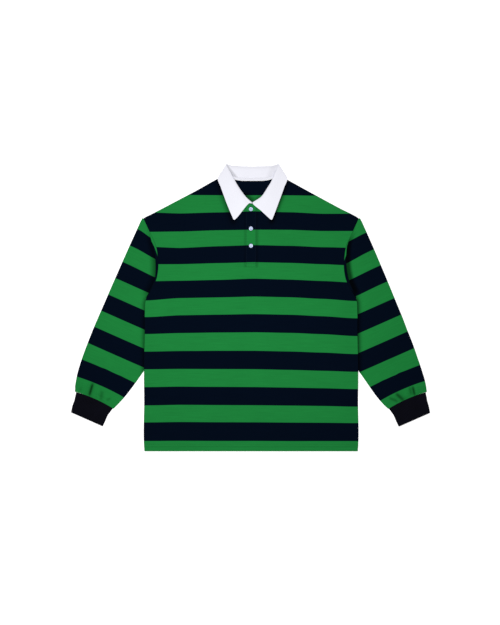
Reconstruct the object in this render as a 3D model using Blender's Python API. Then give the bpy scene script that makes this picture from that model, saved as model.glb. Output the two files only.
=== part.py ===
"""Long-sleeved striped rugby polo shirt, laid flat with its front up.

Metres, +Z up, the collar towards +Y and the wearer's left towards +X. The origin lies on the surface
under the shirt, in the middle of its outline. Sizes below are in millimetres, heights up the shirt are
measured from the hem, and every cloth piece is one closed wall between an outside and an inside.
"""

from collections import namedtuple
from math import cos, pi, radians, sin

import bmesh
import bpy
import numpy as np

MM = 0.001

# Walls and the space between pieces
JERSEY_WALL = 1.4
TWILL_WALL = 1.8
RIB_WALL = 1.8
TAPE_WALL = 1.0
SEAM_GAP = 0.3
FLAT_LAYERS = 2 * JERSEY_WALL + SEAM_GAP

# Body, with half-widths measured from the centre line
WHOLE_LENGTH = 805.8
SHOULDER_HALF = 302.0
SHOULDER_TIP_Y = 654.0
NECK_POINT_Y = 776.4
NECK_HALF = 73.0
NECK_CENTRE = 4.0
FRONT_NECK_DEPTH = 82.0
BACK_NECK_DEPTH = 18.5
HEM_DEPTH = 20.0
HEM_TURNING = 0.6
HEM_STEP = 3.0
BODY_PUFF = 2.0
SHOULDER_SLOPE = 0.53
ARMPIT_Y = 431.0
SLOT_BOTTOM_ROW = 508.3
ARMHOLE_ROWS = (ARMPIT_Y, 443.0, 457.0, 480.0, SLOT_BOTTOM_ROW, 535.0, 565.0, 595.0, 625.0, SHOULDER_TIP_Y)
SIDE_ROWS = (0.0, 18.0, 21.0, 60.0, 100.0, 135.0, 165.0, 195.0)
SIDE_ROWS += (225.0, 260.0, 300.0, 340.0, 372.0, 399.0, 418.0)
SHOULDER_STEPS = 8

BodySide = namedtuple("BodySide", "height half_width")
BODY_SIDE = (
    BodySide(0.0, 299.0),
    BodySide(12.0, 300.0),
    BodySide(140.0, 300.0),
    BodySide(254.0, 300.0),
    BodySide(330.0, 298.3),
    BodySide(399.0, 297.8),
    BodySide(420.0, 296.6),
    BodySide(ARMPIT_Y, 293.0),
    BodySide(443.0, 286.5),
    BodySide(455.0, 279.5),
    BodySide(480.0, 268.3),
    BodySide(505.0, 263.0),
    BodySide(527.0, 260.9),
    BodySide(546.0, 261.7),
    BodySide(573.0, 265.6),
    BodySide(618.8, 285.7),
    BodySide(SHOULDER_TIP_Y, SHOULDER_HALF),
)

# How far the front's fullness takes to rise, from each seam, hem and neckline
SIDE_EASE = 45.0
TOP_EASE = 60.0
NECK_FLAT = 25.0
NECK_EASE = 80.0
PLACKET_EASE = 30.0

# Soft folds: where the middle of each lies, how far it is turned from +X, its size and its height
Fold = namedtuple("Fold", "x y turn length width height")
FRONT_FOLDS = (
    Fold(-205.0, 545.0, -38.0, 150.0, 26.0, 1.0),
    Fold(-150.0, 470.0, -24.0, 170.0, 34.0, 0.8),
    Fold(208.0, 548.0, 36.0, 140.0, 26.0, 1.0),
    Fold(165.0, 462.0, 20.0, 180.0, 34.0, 0.8),
    Fold(-95.0, 230.0, 12.0, 240.0, 46.0, 0.8),
    Fold(110.0, 330.0, -9.0, 220.0, 42.0, 0.7),
    Fold(60.0, 130.0, 6.0, 260.0, 44.0, 0.7),
)

# Sleeves, measured down each one's own axis from the shoulder tip and across it from the outer edge
SLEEVE_TIP_X = 306.0
SLEEVE_TIP_Y = 653.0
SLEEVE_DROP = radians(66.2)
SLEEVE_PUFF = 2.8
PUFF_POWER = 0.7
PUFF_START = 60.0
PUFF_END = 530.0
CUFF_EASE = 34.0
FOLD_NOSE = 2.2
SLEEVE_ROWS = (203.0, 211.0, 222.0, 240.0, 262.0, 290.0, 320.0, 350.0)
SLEEVE_ROWS += (380.0, 410.0, 438.0, 462.0, 480.0, 490.0, 500.0, 509.0, 517.0)
SLEEVE_SHARES = (0.0, 0.08, 0.17, 0.25, 0.29, 0.33, 0.38, 0.46, 0.55, 0.61, 0.65, 0.7, 0.79, 0.9, 1.0)

# The body panels rise over a sleeve's hidden fold, and come down again just above the armpit
UNDERARM_LIFT = 3.7
UNDERARM_REACH = 66.0
UNDERARM_EASE = 40.0
UNDERARM_CLEAR = 30.0
LIFT_TOP = 32.0
LIFT_EASE = 30.0

SleeveSection = namedtuple("SleeveSection", "along outer inner")
SLEEVE_SECTIONS = (
    SleeveSection(203.0, -0.9, 110.0),
    SleeveSection(217.0, -0.9, 136.0),
    SleeveSection(240.0, -0.7, 168.0),
    SleeveSection(275.0, -0.6, 187.0),
    SleeveSection(320.0, -0.4, 189.0),
    SleeveSection(360.0, 0.6, 181.0),
    SleeveSection(383.0, 1.5, 175.7),
    SleeveSection(433.0, 5.0, 164.3),
    SleeveSection(480.0, 12.7, 152.0),
    SleeveSection(517.0, 23.4, 140.0),
)

# Creases and gathers of a sleeve: height is down its axis, share is across it
SleeveFold = namedtuple("SleeveFold", "along share turn length width height")
RIGHT_SLEEVE_FOLDS = (
    SleeveFold(497.0, 0.33, 104.0, 46.0, 6.0, -2.6),
    SleeveFold(496.0, 0.66, 96.0, 40.0, 6.0, -1.6),
    SleeveFold(503.0, 0.86, 140.0, 30.0, 6.0, -1.0),
    SleeveFold(440.0, 0.40, 55.0, 90.0, 14.0, 0.9),
    SleeveFold(330.0, 0.30, 30.0, 100.0, 18.0, 0.7),
)
LEFT_SLEEVE_FOLDS = (
    SleeveFold(501.0, 0.29, 103.0, 40.0, 6.0, -2.2),
    SleeveFold(503.0, 0.64, 77.0, 40.0, 6.0, -2.2),
    SleeveFold(502.0, 0.82, 49.0, 30.0, 6.0, -1.4),
    SleeveFold(430.0, 0.45, 120.0, 90.0, 14.0, 0.9),
    SleeveFold(340.0, 0.35, 150.0, 100.0, 18.0, 0.7),
)

# Rib cuffs, on the sleeve's own axis
CuffSection = namedtuple("CuffSection", "along outer inner")
CUFF_SECTIONS = (
    CuffSection(517.0 + SEAM_GAP, 27.2, 138.0),
    CuffSection(535.0, 29.2, 135.4),
    CuffSection(576.0, 36.5, 133.5),
)
RIBS_PER_FACE = 26
RIB_RISE = 0.4

# Collar: the neck seam, the roll line and the free edge, from a front end to the centre back.
# x is measured from the collar's own middle, sway moves the roll line across.
COLLAR_MIDDLE = 4.0
ROLL_OPENING = 2.2
CollarRow = namedtuple(
    "CollarRow",
    "at seam_x seam_y seam_z roll_x roll_y roll_z edge_x edge_y edge_z over sway",
)
COLLAR_ROWS = (
    CollarRow(0.00, 1.8, 695.2, 2.8, 1.2, 700.4, 5.4, 53.5, 647.0, 4.6, -1.0, -0.9),
    CollarRow(0.20, 26.0, 701.0, 2.8, 20.2, 717.5, 5.6, 63.0, 671.5, 4.6, -1.0, 1.6),
    CollarRow(0.40, 47.2, 715.4, 2.8, 36.0, 738.0, 6.8, 72.0, 695.0, 4.6, -1.0, 2.2),
    CollarRow(0.60, 62.2, 735.6, 2.8, 49.0, 758.0, 9.0, 80.5, 718.0, 4.6, -0.9, 2.2),
    CollarRow(0.80, 69.4, 757.8, 2.6, 61.5, 781.0, 11.0, 88.8, 741.0, 4.6, -0.6, 1.0),
    CollarRow(1.00, 71.0, 778.6, 1.8, 74.0, 803.6, 12.0, 97.4, 766.6, 3.9, 0.0, 0.0),
    CollarRow(1.25, 56.0, 766.4, 0.9, 58.0, 801.2, 10.0, 72.0, 784.0, 0.9, 0.9, 0.0),
    CollarRow(1.50, 38.0, 760.4, 0.9, 38.0, 799.6, 8.6, 44.0, 771.5, 0.9, 1.0, 0.0),
    CollarRow(1.75, 19.0, 759.0, 0.9, 19.0, 799.0, 8.2, 21.0, 769.2, 0.9, 1.0, 0.0),
    CollarRow(2.00, 0.0, 758.8, 0.9, 0.0, 798.8, 8.0, 0.0, 769.0, 0.9, 1.0, 0.0),
)
COLLAR_STEPS = 33
COLLAR_SHARES = np.array([0.0, 0.1, 0.2, 0.34, 0.38, 0.42, 0.46, 0.52, 0.64, 0.76, 0.88, 1.0])

# Shares of the way round a collar section at which its middle surface is guided
GUIDE_SHARES = (0.0, 0.2, 0.34, 0.42, 0.5, 0.75, 1.0)
ROLL_SHARE = 0.42
STAND_BEND = 0.16
LEAF_BEND = 0.07
STAND_BULGE = 0.55
LEAF_BULGE = 0.28
OVER_PLACKET = 9.0
OVER_EASE = 8.0
TAPE_FROM = 1.2
NECK_TAPE_WIDTH = 7.0
NECK_TAPE_HALF = 62.0

# Placket and buttons
PLACKET_CENTRE = -0.5
PLACKET_WIDTH = 30.0
PLACKET_BOTTOM_Y = 518.6
PLACKET_SLOT_HALF = 11.5
UNDERLAP_INSET = 1.0
BUTTON_RADIUS = 5.7
BUTTON_HEIGHT = 2.5
BUTTON_HOLE_RADIUS = 0.85
BUTTON_HOLE_SPREAD = 1.3
BUTTON_HEIGHTS = (680.0, 625.5, 577.3)


def smooth(share):
    """0 below 0, 1 above 1 and an even S-shaped rise between."""
    share = np.clip(share, 0.0, 1.0)
    return share * share * (3.0 - 2.0 * share)


def through(at, stations, values):
    """Smooth curve through a table: cubic pieces whose slopes are the table's own at each row."""
    at = np.asarray(at, float)
    stations = np.asarray(stations, float)
    values = np.asarray(values, float)
    slopes = np.gradient(values, stations, axis=0)
    row = np.clip(np.searchsorted(stations, at, side="right") - 1, 0, len(stations) - 2)
    step = (stations[row + 1] - stations[row]).reshape(at.shape + (1,) * (values.ndim - 1))
    share = (at - stations[row]).reshape(step.shape) / step
    rest = 1.0 - share
    return (
        (1 + 2 * share) * rest**2 * values[row]
        + share * rest**2 * step * slopes[row]
        + share**2 * (3 - 2 * share) * values[row + 1]
        - share**2 * rest * step * slopes[row + 1]
    )


def column(table, name):
    return np.array([getattr(row, name) for row in table])


def body_half_width(y):
    """Half-width of the body at a height: side seam, armpit and armhole up to the shoulder tip."""
    height = np.clip(y, 0.0, SHOULDER_TIP_Y)
    return through(height, column(BODY_SIDE, "height"), column(BODY_SIDE, "half_width"))


def to_plan(side, along, across):
    """Plan point of a sleeve's own coordinates; side is -1 for the sleeve at -X and 1 for the other."""
    x = SLEEVE_TIP_X + along * cos(SLEEVE_DROP) - across * sin(SLEEVE_DROP)
    y = SLEEVE_TIP_Y - along * sin(SLEEVE_DROP) - across * cos(SLEEVE_DROP)
    return np.stack([side * x, y], axis=-1)


def to_sleeve(x, y):
    """The inverse of to_plan, for points given by their distance from the centre line."""
    right, down = x - SLEEVE_TIP_X, SLEEVE_TIP_Y - y
    along = right * cos(SLEEVE_DROP) + down * sin(SLEEVE_DROP)
    across = -right * sin(SLEEVE_DROP) + down * cos(SLEEVE_DROP)
    return along, across


def sleeve_edges(along):
    """Outer and inner edge of a sleeve: on the armhole seam down to the armpit, then by its sections."""
    seam_y = np.array(ARMHOLE_ROWS[::-1])
    seam_along, seam_across = to_sleeve(body_half_width(seam_y), seam_y)
    stations = column(SLEEVE_SECTIONS, "along")
    inner = np.where(
        along < stations[0],
        np.interp(along, seam_along, seam_across - 2 * SEAM_GAP),
        through(np.maximum(along, stations[0]), stations, column(SLEEVE_SECTIONS, "inner")),
    )
    outer = through(np.maximum(along, stations[0]), stations, column(SLEEVE_SECTIONS, "outer"))
    return outer, inner


def underarm_lift(x, y):
    """How far the body panels rise to pass over the part of the sleeve that is folded under them."""
    stations = np.linspace(SLEEVE_ROWS[0], SLEEVE_ROWS[-1], 60)
    hidden = to_plan(1, stations, sleeve_edges(stations)[1])
    edge = np.interp(y, hidden[::-1, 1], hidden[::-1, 0])
    over = smooth((np.abs(x) - edge + UNDERARM_REACH) / UNDERARM_EASE)
    return UNDERARM_LIFT * over * smooth((ARMPIT_Y + LIFT_TOP - y) / LIFT_EASE)


def soft_folds(x, y, folds):
    """Sum of soft ridges: bell-shaped across each line, and fading towards its ends."""
    total = np.zeros_like(x)
    for fold in folds:
        turn = radians(fold.turn)
        along = (x - fold.x) * cos(turn) + (y - fold.y) * sin(turn)
        across = (y - fold.y) * cos(turn) - (x - fold.x) * sin(turn)
        ends = smooth((fold.length / 2 - np.abs(along)) / (fold.length / 3))
        total += fold.height * ends * np.exp(-((across / fold.width) ** 2))
    return total


def neck_distance(x, y):
    """Rough distance from the front neckline, which is half an ellipse."""
    across = (x - NECK_CENTRE) / NECK_HALF
    down = (NECK_POINT_Y - y) / FRONT_NECK_DEPTH
    return (np.hypot(across, down) - 1.0) * (NECK_HALF + FRONT_NECK_DEPTH) / 2


def hem_turning(y):
    """Extra thickness of the hem, which ends in a soft step at the turned-up edge."""
    return HEM_TURNING * smooth((HEM_DEPTH + HEM_STEP / 3 - y) / HEM_STEP)


def front_gap(x, y):
    """Space between the panels: least at every seam, with soft folds and fullness in the middle."""
    shoulder_y = SHOULDER_TIP_Y + (SHOULDER_HALF - np.abs(x)) * SHOULDER_SLOPE
    full = smooth((body_half_width(y) - np.abs(x)) / SIDE_EASE) * smooth((shoulder_y - y) / TOP_EASE)
    full = full * smooth((y - HEM_DEPTH) / TOP_EASE)
    full = full * smooth((neck_distance(x, y) - NECK_FLAT) / NECK_EASE)
    beside_placket = smooth((np.abs(x - PLACKET_CENTRE) - PLACKET_WIDTH / 2) / PLACKET_EASE)
    full = full * np.where(y > PLACKET_BOTTOM_Y - PLACKET_EASE, beside_placket, 1.0)
    return SEAM_GAP + full * (BODY_PUFF + soft_folds(x, y, FRONT_FOLDS))


def back_low(x, y):
    return underarm_lift(x, y)


def back_top(x, y):
    return back_low(x, y) + JERSEY_WALL + hem_turning(y)


def front_low(x, y):
    return back_top(x, y) + front_gap(x, y)


def front_top(x, y):
    return front_low(x, y) + JERSEY_WALL + hem_turning(y)


def cloth_material(name, colour, roughness):
    """Plain cloth or plastic of an sRGB hex colour."""
    channels = [int(colour[i : i + 2], 16) / 255 for i in (1, 3, 5)]
    linear = [c / 12.92 if c <= 0.04045 else ((c + 0.055) / 1.055) ** 2.4 for c in channels]
    made = bpy.data.materials.new(name)
    made.use_nodes = True
    shader = made.node_tree.nodes["Principled BSDF"]
    shader.inputs["Base Color"].default_value = (*linear, 1.0)
    shader.inputs["Roughness"].default_value = roughness
    shader.inputs["Metallic"].default_value = 0.0
    made.diffuse_color = (*linear, 1.0)
    return made


def grid_faces(rows, columns, closed=False, kept=None):
    """Quads of a grid of points, wrapped round its columns if closed, without those not kept."""
    faces = []
    for i in range(rows - 1):
        for j in range(columns if closed else columns - 1):
            if kept is None or kept[i, j]:
                after = (j + 1) % columns
                faces.append(
                    (i * columns + j, i * columns + after, (i + 1) * columns + after, (i + 1) * columns + j)
                )
    return faces


def wall(name, outside, inside, faces, material, turned=False):
    """One closed wall: the faces on the outside, the same faces turned over on the inside, and a rim
    between the two along each edge that only one face uses."""
    def turned_over(face):
        return face[:1] + face[:0:-1]

    if turned:
        faces = [turned_over(face) for face in faces]
    count = outside.reshape(-1, 3).shape[0]
    points = np.concatenate([outside.reshape(-1, 3), inside.reshape(-1, 3)])
    points = (points - (0.0, WHOLE_LENGTH / 2, 0.0)) * MM
    edges = {edge for face in faces for edge in zip(face, face[1:] + face[:1])}
    rim = [(b, a, a + count, b + count) for a, b in sorted(edges) if (b, a) not in edges]
    lining = [tuple(i + count for i in turned_over(face)) for face in faces]
    mesh = bpy.data.meshes.new(name)
    mesh.from_pydata(points.tolist(), [], faces + lining + rim)
    shape = bmesh.new()
    shape.from_mesh(mesh)
    bmesh.ops.delete(shape, geom=[v for v in shape.verts if not v.link_faces], context="VERTS")
    shape.to_mesh(mesh)
    shape.free()
    mesh.shade_smooth()
    mesh.set_sharp_from_angle(angle=radians(50))
    mesh.materials.append(material)
    made = bpy.data.objects.new(name, mesh)
    bpy.context.collection.objects.link(made)
    return made


def row_y(height, top_y):
    """A side row's height carried over to a column that ends at top_y: rows bend only near the top."""
    return height + (top_y - SHOULDER_TIP_Y) * (height / SHOULDER_TIP_Y) ** 3


def body_plan(neckline):
    """Plan points of a body panel, from hem to shoulder line and neckline, left edge to right edge.

    Each column is upright below its point of the top edge, and leans to the side only near the side."""
    tip = np.array([SHOULDER_HALF, SHOULDER_TIP_Y])
    share = np.linspace(0.0, 1.0, SHOULDER_STEPS, endpoint=False)[:, None]
    left = tip * (-1, 1) + (neckline[0] - tip * (-1, 1)) * share
    right = tip + (neckline[-1] - tip) * share
    top = np.concatenate([left, neckline, right[::-1]])
    height = np.array(SIDE_ROWS + ARMHOLE_ROWS)[:, None]
    across = (top[:, 0] / SHOULDER_HALF + 1) / 2
    narrowing = SHOULDER_HALF - body_half_width(height)
    x = top[:, 0] + narrowing * ((1 - across) ** 6 - across**6)
    return np.stack([x, row_y(height, top[:, 1])], axis=-1)


def neck_curve(turns, depth, power):
    """Neckline from the neck point at -X to the one at +X, through the given turns from 0 to pi."""
    across = -np.cos(turns)
    if power == 2:
        down = np.sin(turns)
    else:
        down = 1.0 - np.abs(across) ** power
    return np.column_stack([NECK_CENTRE + NECK_HALF * across, NECK_POINT_Y - depth * down])


def add_height(plan, height):
    return np.concatenate([plan, height(plan[..., 0], plan[..., 1])[..., None]], axis=-1)


def build_back(material):
    """Back panel, flat on the surface below except where it passes over the sleeves."""
    plan = body_plan(neck_curve(np.linspace(0.0, pi, 9), BACK_NECK_DEPTH, 4))
    outside, inside = add_height(plan, back_low), add_height(plan, back_top)
    faces = grid_faces(*plan.shape[:2])
    return wall("back", outside, inside, faces, material, turned=True)


def build_front(material):
    """Front panel on the back panel, with the slot that the placket fills."""
    slot = PLACKET_CENTRE + PLACKET_SLOT_HALF * np.array([-1.0, 1.0])
    slot_turns = np.arccos(-(slot - NECK_CENTRE) / NECK_HALF)
    turns = np.concatenate(
        [np.linspace(0.0, slot_turns[0], 7), slot_turns[1:], np.linspace(slot_turns[1], pi, 7)[1:]]
    )
    plan = body_plan(neck_curve(turns, FRONT_NECK_DEPTH, 2))
    rows = np.array(SIDE_ROWS + ARMHOLE_ROWS)
    columns = (plan[-1, 1:, 0] + plan[-1, :-1, 0]) / 2
    kept = np.ones((plan.shape[0] - 1, plan.shape[1] - 1), bool)
    kept[np.ix_(rows[:-1] >= SLOT_BOTTOM_ROW, np.abs(columns - PLACKET_CENTRE) < PLACKET_SLOT_HALF)] = False
    outside, inside = add_height(plan, front_top), add_height(plan, front_low)
    return wall("front", outside, inside, grid_faces(*plan.shape[:2], kept=kept), material)


def ring(side, along, outer, inner, layers, nose_inner):
    """Outside and inside points of a flattened tube's rings, one row for each section.

    Each ring runs over the top layer from the outer edge to the inner one, round that fold, back under
    the bottom layer and round the outer fold. layers holds the shares across of the top and the bottom
    columns, the top layer's outside height, the bottom layer's outside height and the wall."""
    top_share, bottom_share, top_z, bottom_z, thickness = layers
    rows = len(along)

    def plan(share):
        inset = FOLD_NOSE * (1 - share) - nose_inner[:, None] * share
        across = outer[:, None] + (inner - outer)[:, None] * share + inset
        return to_plan(side, np.broadcast_to(along[:, None], across.shape), across)

    def at_height(points, height):
        return np.concatenate([points, np.broadcast_to(height, points.shape[:2])[..., None]], axis=-1)

    top, bottom = plan(top_share[None, :]), plan(bottom_share[None, :])
    inner_nose = to_plan(side, along, inner)[:, None]
    inner_nose_inside = to_plan(side, along, inner - np.minimum(nose_inner, thickness))[:, None]
    outer_nose = to_plan(side, along, outer)[:, None]
    outer_nose_inside = to_plan(side, along, outer + thickness)[:, None]
    middle = {
        "inner": (top_z[:, -1:] + bottom_z[:, :1]) / 2,
        "outer": (top_z[:, :1] + bottom_z[:, -1:]) / 2,
    }
    outside = np.concatenate(
        [
            at_height(top, top_z),
            at_height(inner_nose, middle["inner"]),
            at_height(bottom, bottom_z),
            at_height(outer_nose, middle["outer"]),
        ],
        axis=1,
    )
    inside_top, inside_bottom = top_z - thickness, np.full((rows, len(bottom_share)), thickness)
    inside = np.concatenate(
        [
            at_height(top, inside_top),
            at_height(inner_nose_inside, middle["inner"]),
            at_height(bottom, inside_bottom),
            at_height(outer_nose_inside, middle["outer"]),
        ],
        axis=1,
    )
    return outside, inside


def build_sleeve(name, side, folds, material):
    """Sleeve: a flattened tube, open along the armhole seam and at the cuff."""
    seam_rows = np.array(ARMHOLE_ROWS[:-1])
    seam_along = to_sleeve(body_half_width(seam_rows), seam_rows)[0]
    along = np.concatenate([[3.0], seam_along[::-1], SLEEVE_ROWS])
    outer, inner = sleeve_edges(along)
    top_share = np.array(SLEEVE_SHARES)
    bottom_share = np.linspace(1.0, 0.0, 5)
    across = outer[:, None] + (inner - outer)[:, None] * top_share
    plan = to_plan(1, np.broadcast_to(along[:, None], across.shape), across)
    clear = smooth((plan[..., 0] - body_half_width(plan[..., 1]) - 1.0) / UNDERARM_CLEAR)
    fullness = smooth(along / PUFF_START) * smooth((PUFF_END - along) / CUFF_EASE)
    bowed = np.sin(pi * top_share) ** PUFF_POWER * fullness[:, None]
    end_width = inner[-1] - outer[-1]
    creases = [
        Fold(f.along, outer[-1] + f.share * end_width, f.turn - 90.0, f.length, f.width, f.height)
        for f in folds
    ]
    here = np.broadcast_to(along[:, None], across.shape)
    puff = np.maximum(bowed * SLEEVE_PUFF + soft_folds(here, across, creases), 0.0) * clear
    top_z = FLAT_LAYERS + puff
    bottom_z = np.zeros((len(along), len(bottom_share)))
    nose_inner = FOLD_NOSE * smooth((along - seam_along[0]) / (5 * FOLD_NOSE))
    layers = (top_share, bottom_share, top_z, bottom_z, JERSEY_WALL)
    outside, inside = ring(side, along, outer, inner, layers, nose_inner)
    kept = np.ones(outside.shape[:2], bool)
    armhole_rows = along < seam_along[0] + SEAM_GAP
    fold_columns = [len(top_share) - 1, len(top_share)]
    kept[np.ix_(armhole_rows, fold_columns)] = False
    faces = grid_faces(*outside.shape[:2], closed=True, kept=kept)
    return wall(name, outside, inside, faces, material, turned=side < 0)


def build_cuff(name, side, material):
    """Rib-knit cuff: a flattened tube with its ribs along the arm, peaks and valleys in turn."""
    stations = column(CUFF_SECTIONS, "along")
    outer, inner = column(CUFF_SECTIONS, "outer"), column(CUFF_SECTIONS, "inner")
    share = np.linspace(0.0, 1.0, 2 * RIBS_PER_FACE)
    rib = RIB_RISE * (np.arange(len(share)) % 2)
    flat = 2 * RIB_WALL + SEAM_GAP
    top_z = flat + np.broadcast_to(rib, (len(stations), len(share)))
    bottom_z = np.broadcast_to(rib, (len(stations), len(share)))
    layers = (share, share[::-1], top_z, bottom_z, RIB_WALL)
    outside, inside = ring(side, stations, outer, inner, layers, np.full(len(stations), FOLD_NOSE))
    inside[:, : len(share), 2] = flat - RIB_WALL
    faces = grid_faces(*outside.shape[:2], closed=True)
    return wall(name, outside, inside, faces, material, turned=side < 0)


def collar_middle_surface(steps, shares):
    """Middle surface of the collar, from the front end at -X round the back to the one at +X.

    Every section starts at the neck seam, climbs the stand, turns at the roll line and runs down the
    leaf to its free edge. Above the front the leaf lies over the stand, and behind the neck under it."""
    at = np.linspace(0.0, 2.0, steps)
    stations = column(COLLAR_ROWS, "at")
    value = {name: through(at, stations, column(COLLAR_ROWS, name)) for name in CollarRow._fields}

    def point(part, z=None):
        height = value[part + "_z"] if z is None else z
        return np.stack([value[part + "_x"], value[part + "_y"], height], axis=-1)

    def towards(a, b, share, z):
        made = a + (b - a) * share
        made[:, 2] = z
        return made

    seam, roll, edge = point("seam"), point("roll"), point("edge")
    opening = ROLL_OPENING * value["over"]
    stand_z, leaf_z = value["roll_z"] + opening, value["roll_z"] - opening
    stand_end = towards(roll, seam, STAND_BEND, stand_z)
    leaf_start = towards(roll, edge, LEAF_BEND, leaf_z)
    stand_middle = towards(seam, roll, 0.5, seam[:, 2] + STAND_BULGE * (stand_z - seam[:, 2]))
    leaf_middle = towards(leaf_start, edge, 0.5, edge[:, 2] + LEAF_BULGE * (leaf_z - edge[:, 2]))
    guide = np.stack([seam, stand_middle, stand_end, roll, leaf_start, leaf_middle, edge])
    half = np.moveaxis(through(shares, GUIDE_SHARES, guide), 0, 1)
    swayed = np.interp(shares, (0.0, GUIDE_SHARES[2], GUIDE_SHARES[4], 1.0), (0.0, 1.0, 1.0, 0.0))
    sway = value["sway"][:, None] * swayed
    left, right = half.copy(), half[-2::-1].copy()
    left[..., 0] = COLLAR_MIDDLE + sway - half[..., 0]
    right[..., 0] = COLLAR_MIDDLE + sway[-2::-1] + half[-2::-1, :, 0]
    whole = np.concatenate([left, right])
    place = np.concatenate([at, at[-2::-1]])
    leaf = (shares >= ROLL_SHARE)[None, :] & (place < 0.99)[:, None]
    beneath = front_top(whole[..., 0], whole[..., 1])
    aside = np.abs(whole[..., 0] - PLACKET_CENTRE)
    strip = smooth((PLACKET_WIDTH / 2 + OVER_PLACKET - aside) / OVER_EASE)
    beneath = beneath + (SEAM_GAP + JERSEY_WALL) * strip
    rest_z = beneath + 2 * SEAM_GAP + TWILL_WALL / 2
    whole[..., 2] = np.where(leaf, np.maximum(whole[..., 2], rest_z), whole[..., 2])
    return whole, place


def surface_normals(surface):
    """Unit normals of a grid of points, from its steps across and along."""
    normal = np.cross(np.gradient(surface, axis=1), np.gradient(surface, axis=0))
    return normal / np.linalg.norm(normal, axis=-1, keepdims=True)


def moved_out(surface, normals, distance):
    """The surface moved along its normals, and never below what the shirt lies on."""
    moved = surface + normals * distance
    moved[..., 2] = np.maximum(moved[..., 2], 0.0)
    return moved


def build_collar(material):
    """One-piece twill collar, folded on its roll line."""
    surface, _ = collar_middle_surface(COLLAR_STEPS, COLLAR_SHARES)
    normals = surface_normals(surface)
    outside = moved_out(surface, normals, TWILL_WALL / 2)
    inside = moved_out(surface, normals, -TWILL_WALL / 2)
    return wall("collar", outside, inside, grid_faces(*surface.shape[:2]), material)


def build_neck_tape(material):
    """Twill tape over the back neck seam, made from the collar stand's points moved out."""
    surface, place = collar_middle_surface(COLLAR_STEPS, COLLAR_SHARES)
    normals = surface_normals(surface)
    rows = (place > TAPE_FROM) & (np.abs(surface[:, 0, 0] - COLLAR_MIDDLE) < NECK_TAPE_HALF)
    up = np.where(normals[rows, 0, 2] > 0, 1.0, -1.0)[:, None, None]
    stand, out = surface[rows], normals[rows] * up
    height = np.linalg.norm(stand[:, 1] - stand[:, 0], axis=-1)[:, None, None]
    share = NECK_TAPE_WIDTH * np.array([0.03, 0.5, 1.0])[None, :, None] / height
    line = stand[:, :1] + (stand[:, 1:2] - stand[:, :1]) * share
    lift = TWILL_WALL / 2 + SEAM_GAP
    inside = line + out[:, :1] * lift
    outside = line + out[:, :1] * (lift + TAPE_WALL)
    faces = grid_faces(*line.shape[:2])
    return wall("neck_tape", outside, inside, faces, material, turned=True)


def placket_plan(half_width, bottom, columns, rows):
    """Plan points of a strip down the centre front, cut off just under the neckline."""
    x = PLACKET_CENTRE + np.linspace(-half_width, half_width, columns)
    top = NECK_POINT_Y - FRONT_NECK_DEPTH * np.sqrt(1 - ((x - NECK_CENTRE) / NECK_HALF) ** 2) - SEAM_GAP
    share = np.linspace(0.0, 1.0, rows)[:, None]
    return np.stack([np.broadcast_to(x, (rows, columns)), bottom + (top - bottom) * share], axis=-1)


def build_placket(material):
    """Underlap in the front's slot and overlap on it, each made from the front's points moved out."""
    slot_bottom = row_y(SLOT_BOTTOM_ROW, NECK_POINT_Y - FRONT_NECK_DEPTH)
    under_plan = placket_plan(PLACKET_SLOT_HALF - UNDERLAP_INSET, slot_bottom + UNDERLAP_INSET, 4, 12)
    under = wall(
        "placket_under",
        add_height(under_plan, front_top),
        add_height(under_plan, front_low),
        grid_faces(*under_plan.shape[:2]),
        material,
    )
    over_plan = placket_plan(PLACKET_WIDTH / 2, PLACKET_BOTTOM_Y, 6, 12)
    over_low = add_height(over_plan, front_top) + (0.0, 0.0, SEAM_GAP)
    over = wall(
        "placket_top",
        over_low + (0.0, 0.0, JERSEY_WALL),
        over_low,
        grid_faces(*over_plan.shape[:2]),
        material,
    )
    return under, over


def turned_button(name):
    """Button turned round its axis: flat back, rounded rim and a dished face."""
    radius, height = BUTTON_RADIUS, BUTTON_HEIGHT
    profile = (
        (0.0, 0.0),
        (radius - 0.7, 0.0),
        (radius, 0.7),
        (radius, height - 0.8),
        (radius - 0.6, height),
        (radius - 1.3, height),
        (radius - 2.1, height - 0.8),
        (0.0, height - 0.9),
    )
    shape = bmesh.new()
    points = [shape.verts.new((r * MM, 0.0, z * MM)) for r, z in profile]
    for a, b in zip(points, points[1:]):
        shape.edges.new((a, b))
    bmesh.ops.spin(
        shape, geom=shape.verts[:] + shape.edges[:], cent=(0, 0, 0), axis=(0, 0, 1), angle=2 * pi, steps=20
    )
    bmesh.ops.remove_doubles(shape, verts=shape.verts, dist=1e-6)
    bmesh.ops.recalc_face_normals(shape, faces=shape.faces)
    mesh = bpy.data.meshes.new(name)
    shape.to_mesh(mesh)
    shape.free()
    mesh.shade_smooth()
    mesh.set_sharp_from_angle(angle=radians(35))
    return mesh


def hole_cutter():
    """Four upright pins, hidden, that cut a button's sewing holes."""
    shape = bmesh.new()
    for quarter in range(4):
        turn = pi / 4 + quarter * pi / 2
        reach = BUTTON_HOLE_SPREAD * 2**0.5
        made = bmesh.ops.create_cone(
            shape,
            cap_ends=True,
            segments=6,
            radius1=BUTTON_HOLE_RADIUS * MM,
            radius2=BUTTON_HOLE_RADIUS * MM,
            depth=3 * BUTTON_HEIGHT * MM,
        )
        spot = (reach * cos(turn) * MM, reach * sin(turn) * MM, 0.0)
        bmesh.ops.translate(shape, verts=made["verts"], vec=spot)
    mesh = bpy.data.meshes.new("button_holes")
    shape.to_mesh(mesh)
    shape.free()
    cutter = bpy.data.objects.new("button_holes", mesh)
    cutter.hide_render = True
    cutter.display_type = "WIRE"
    bpy.context.collection.objects.link(cutter)
    return cutter


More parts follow.
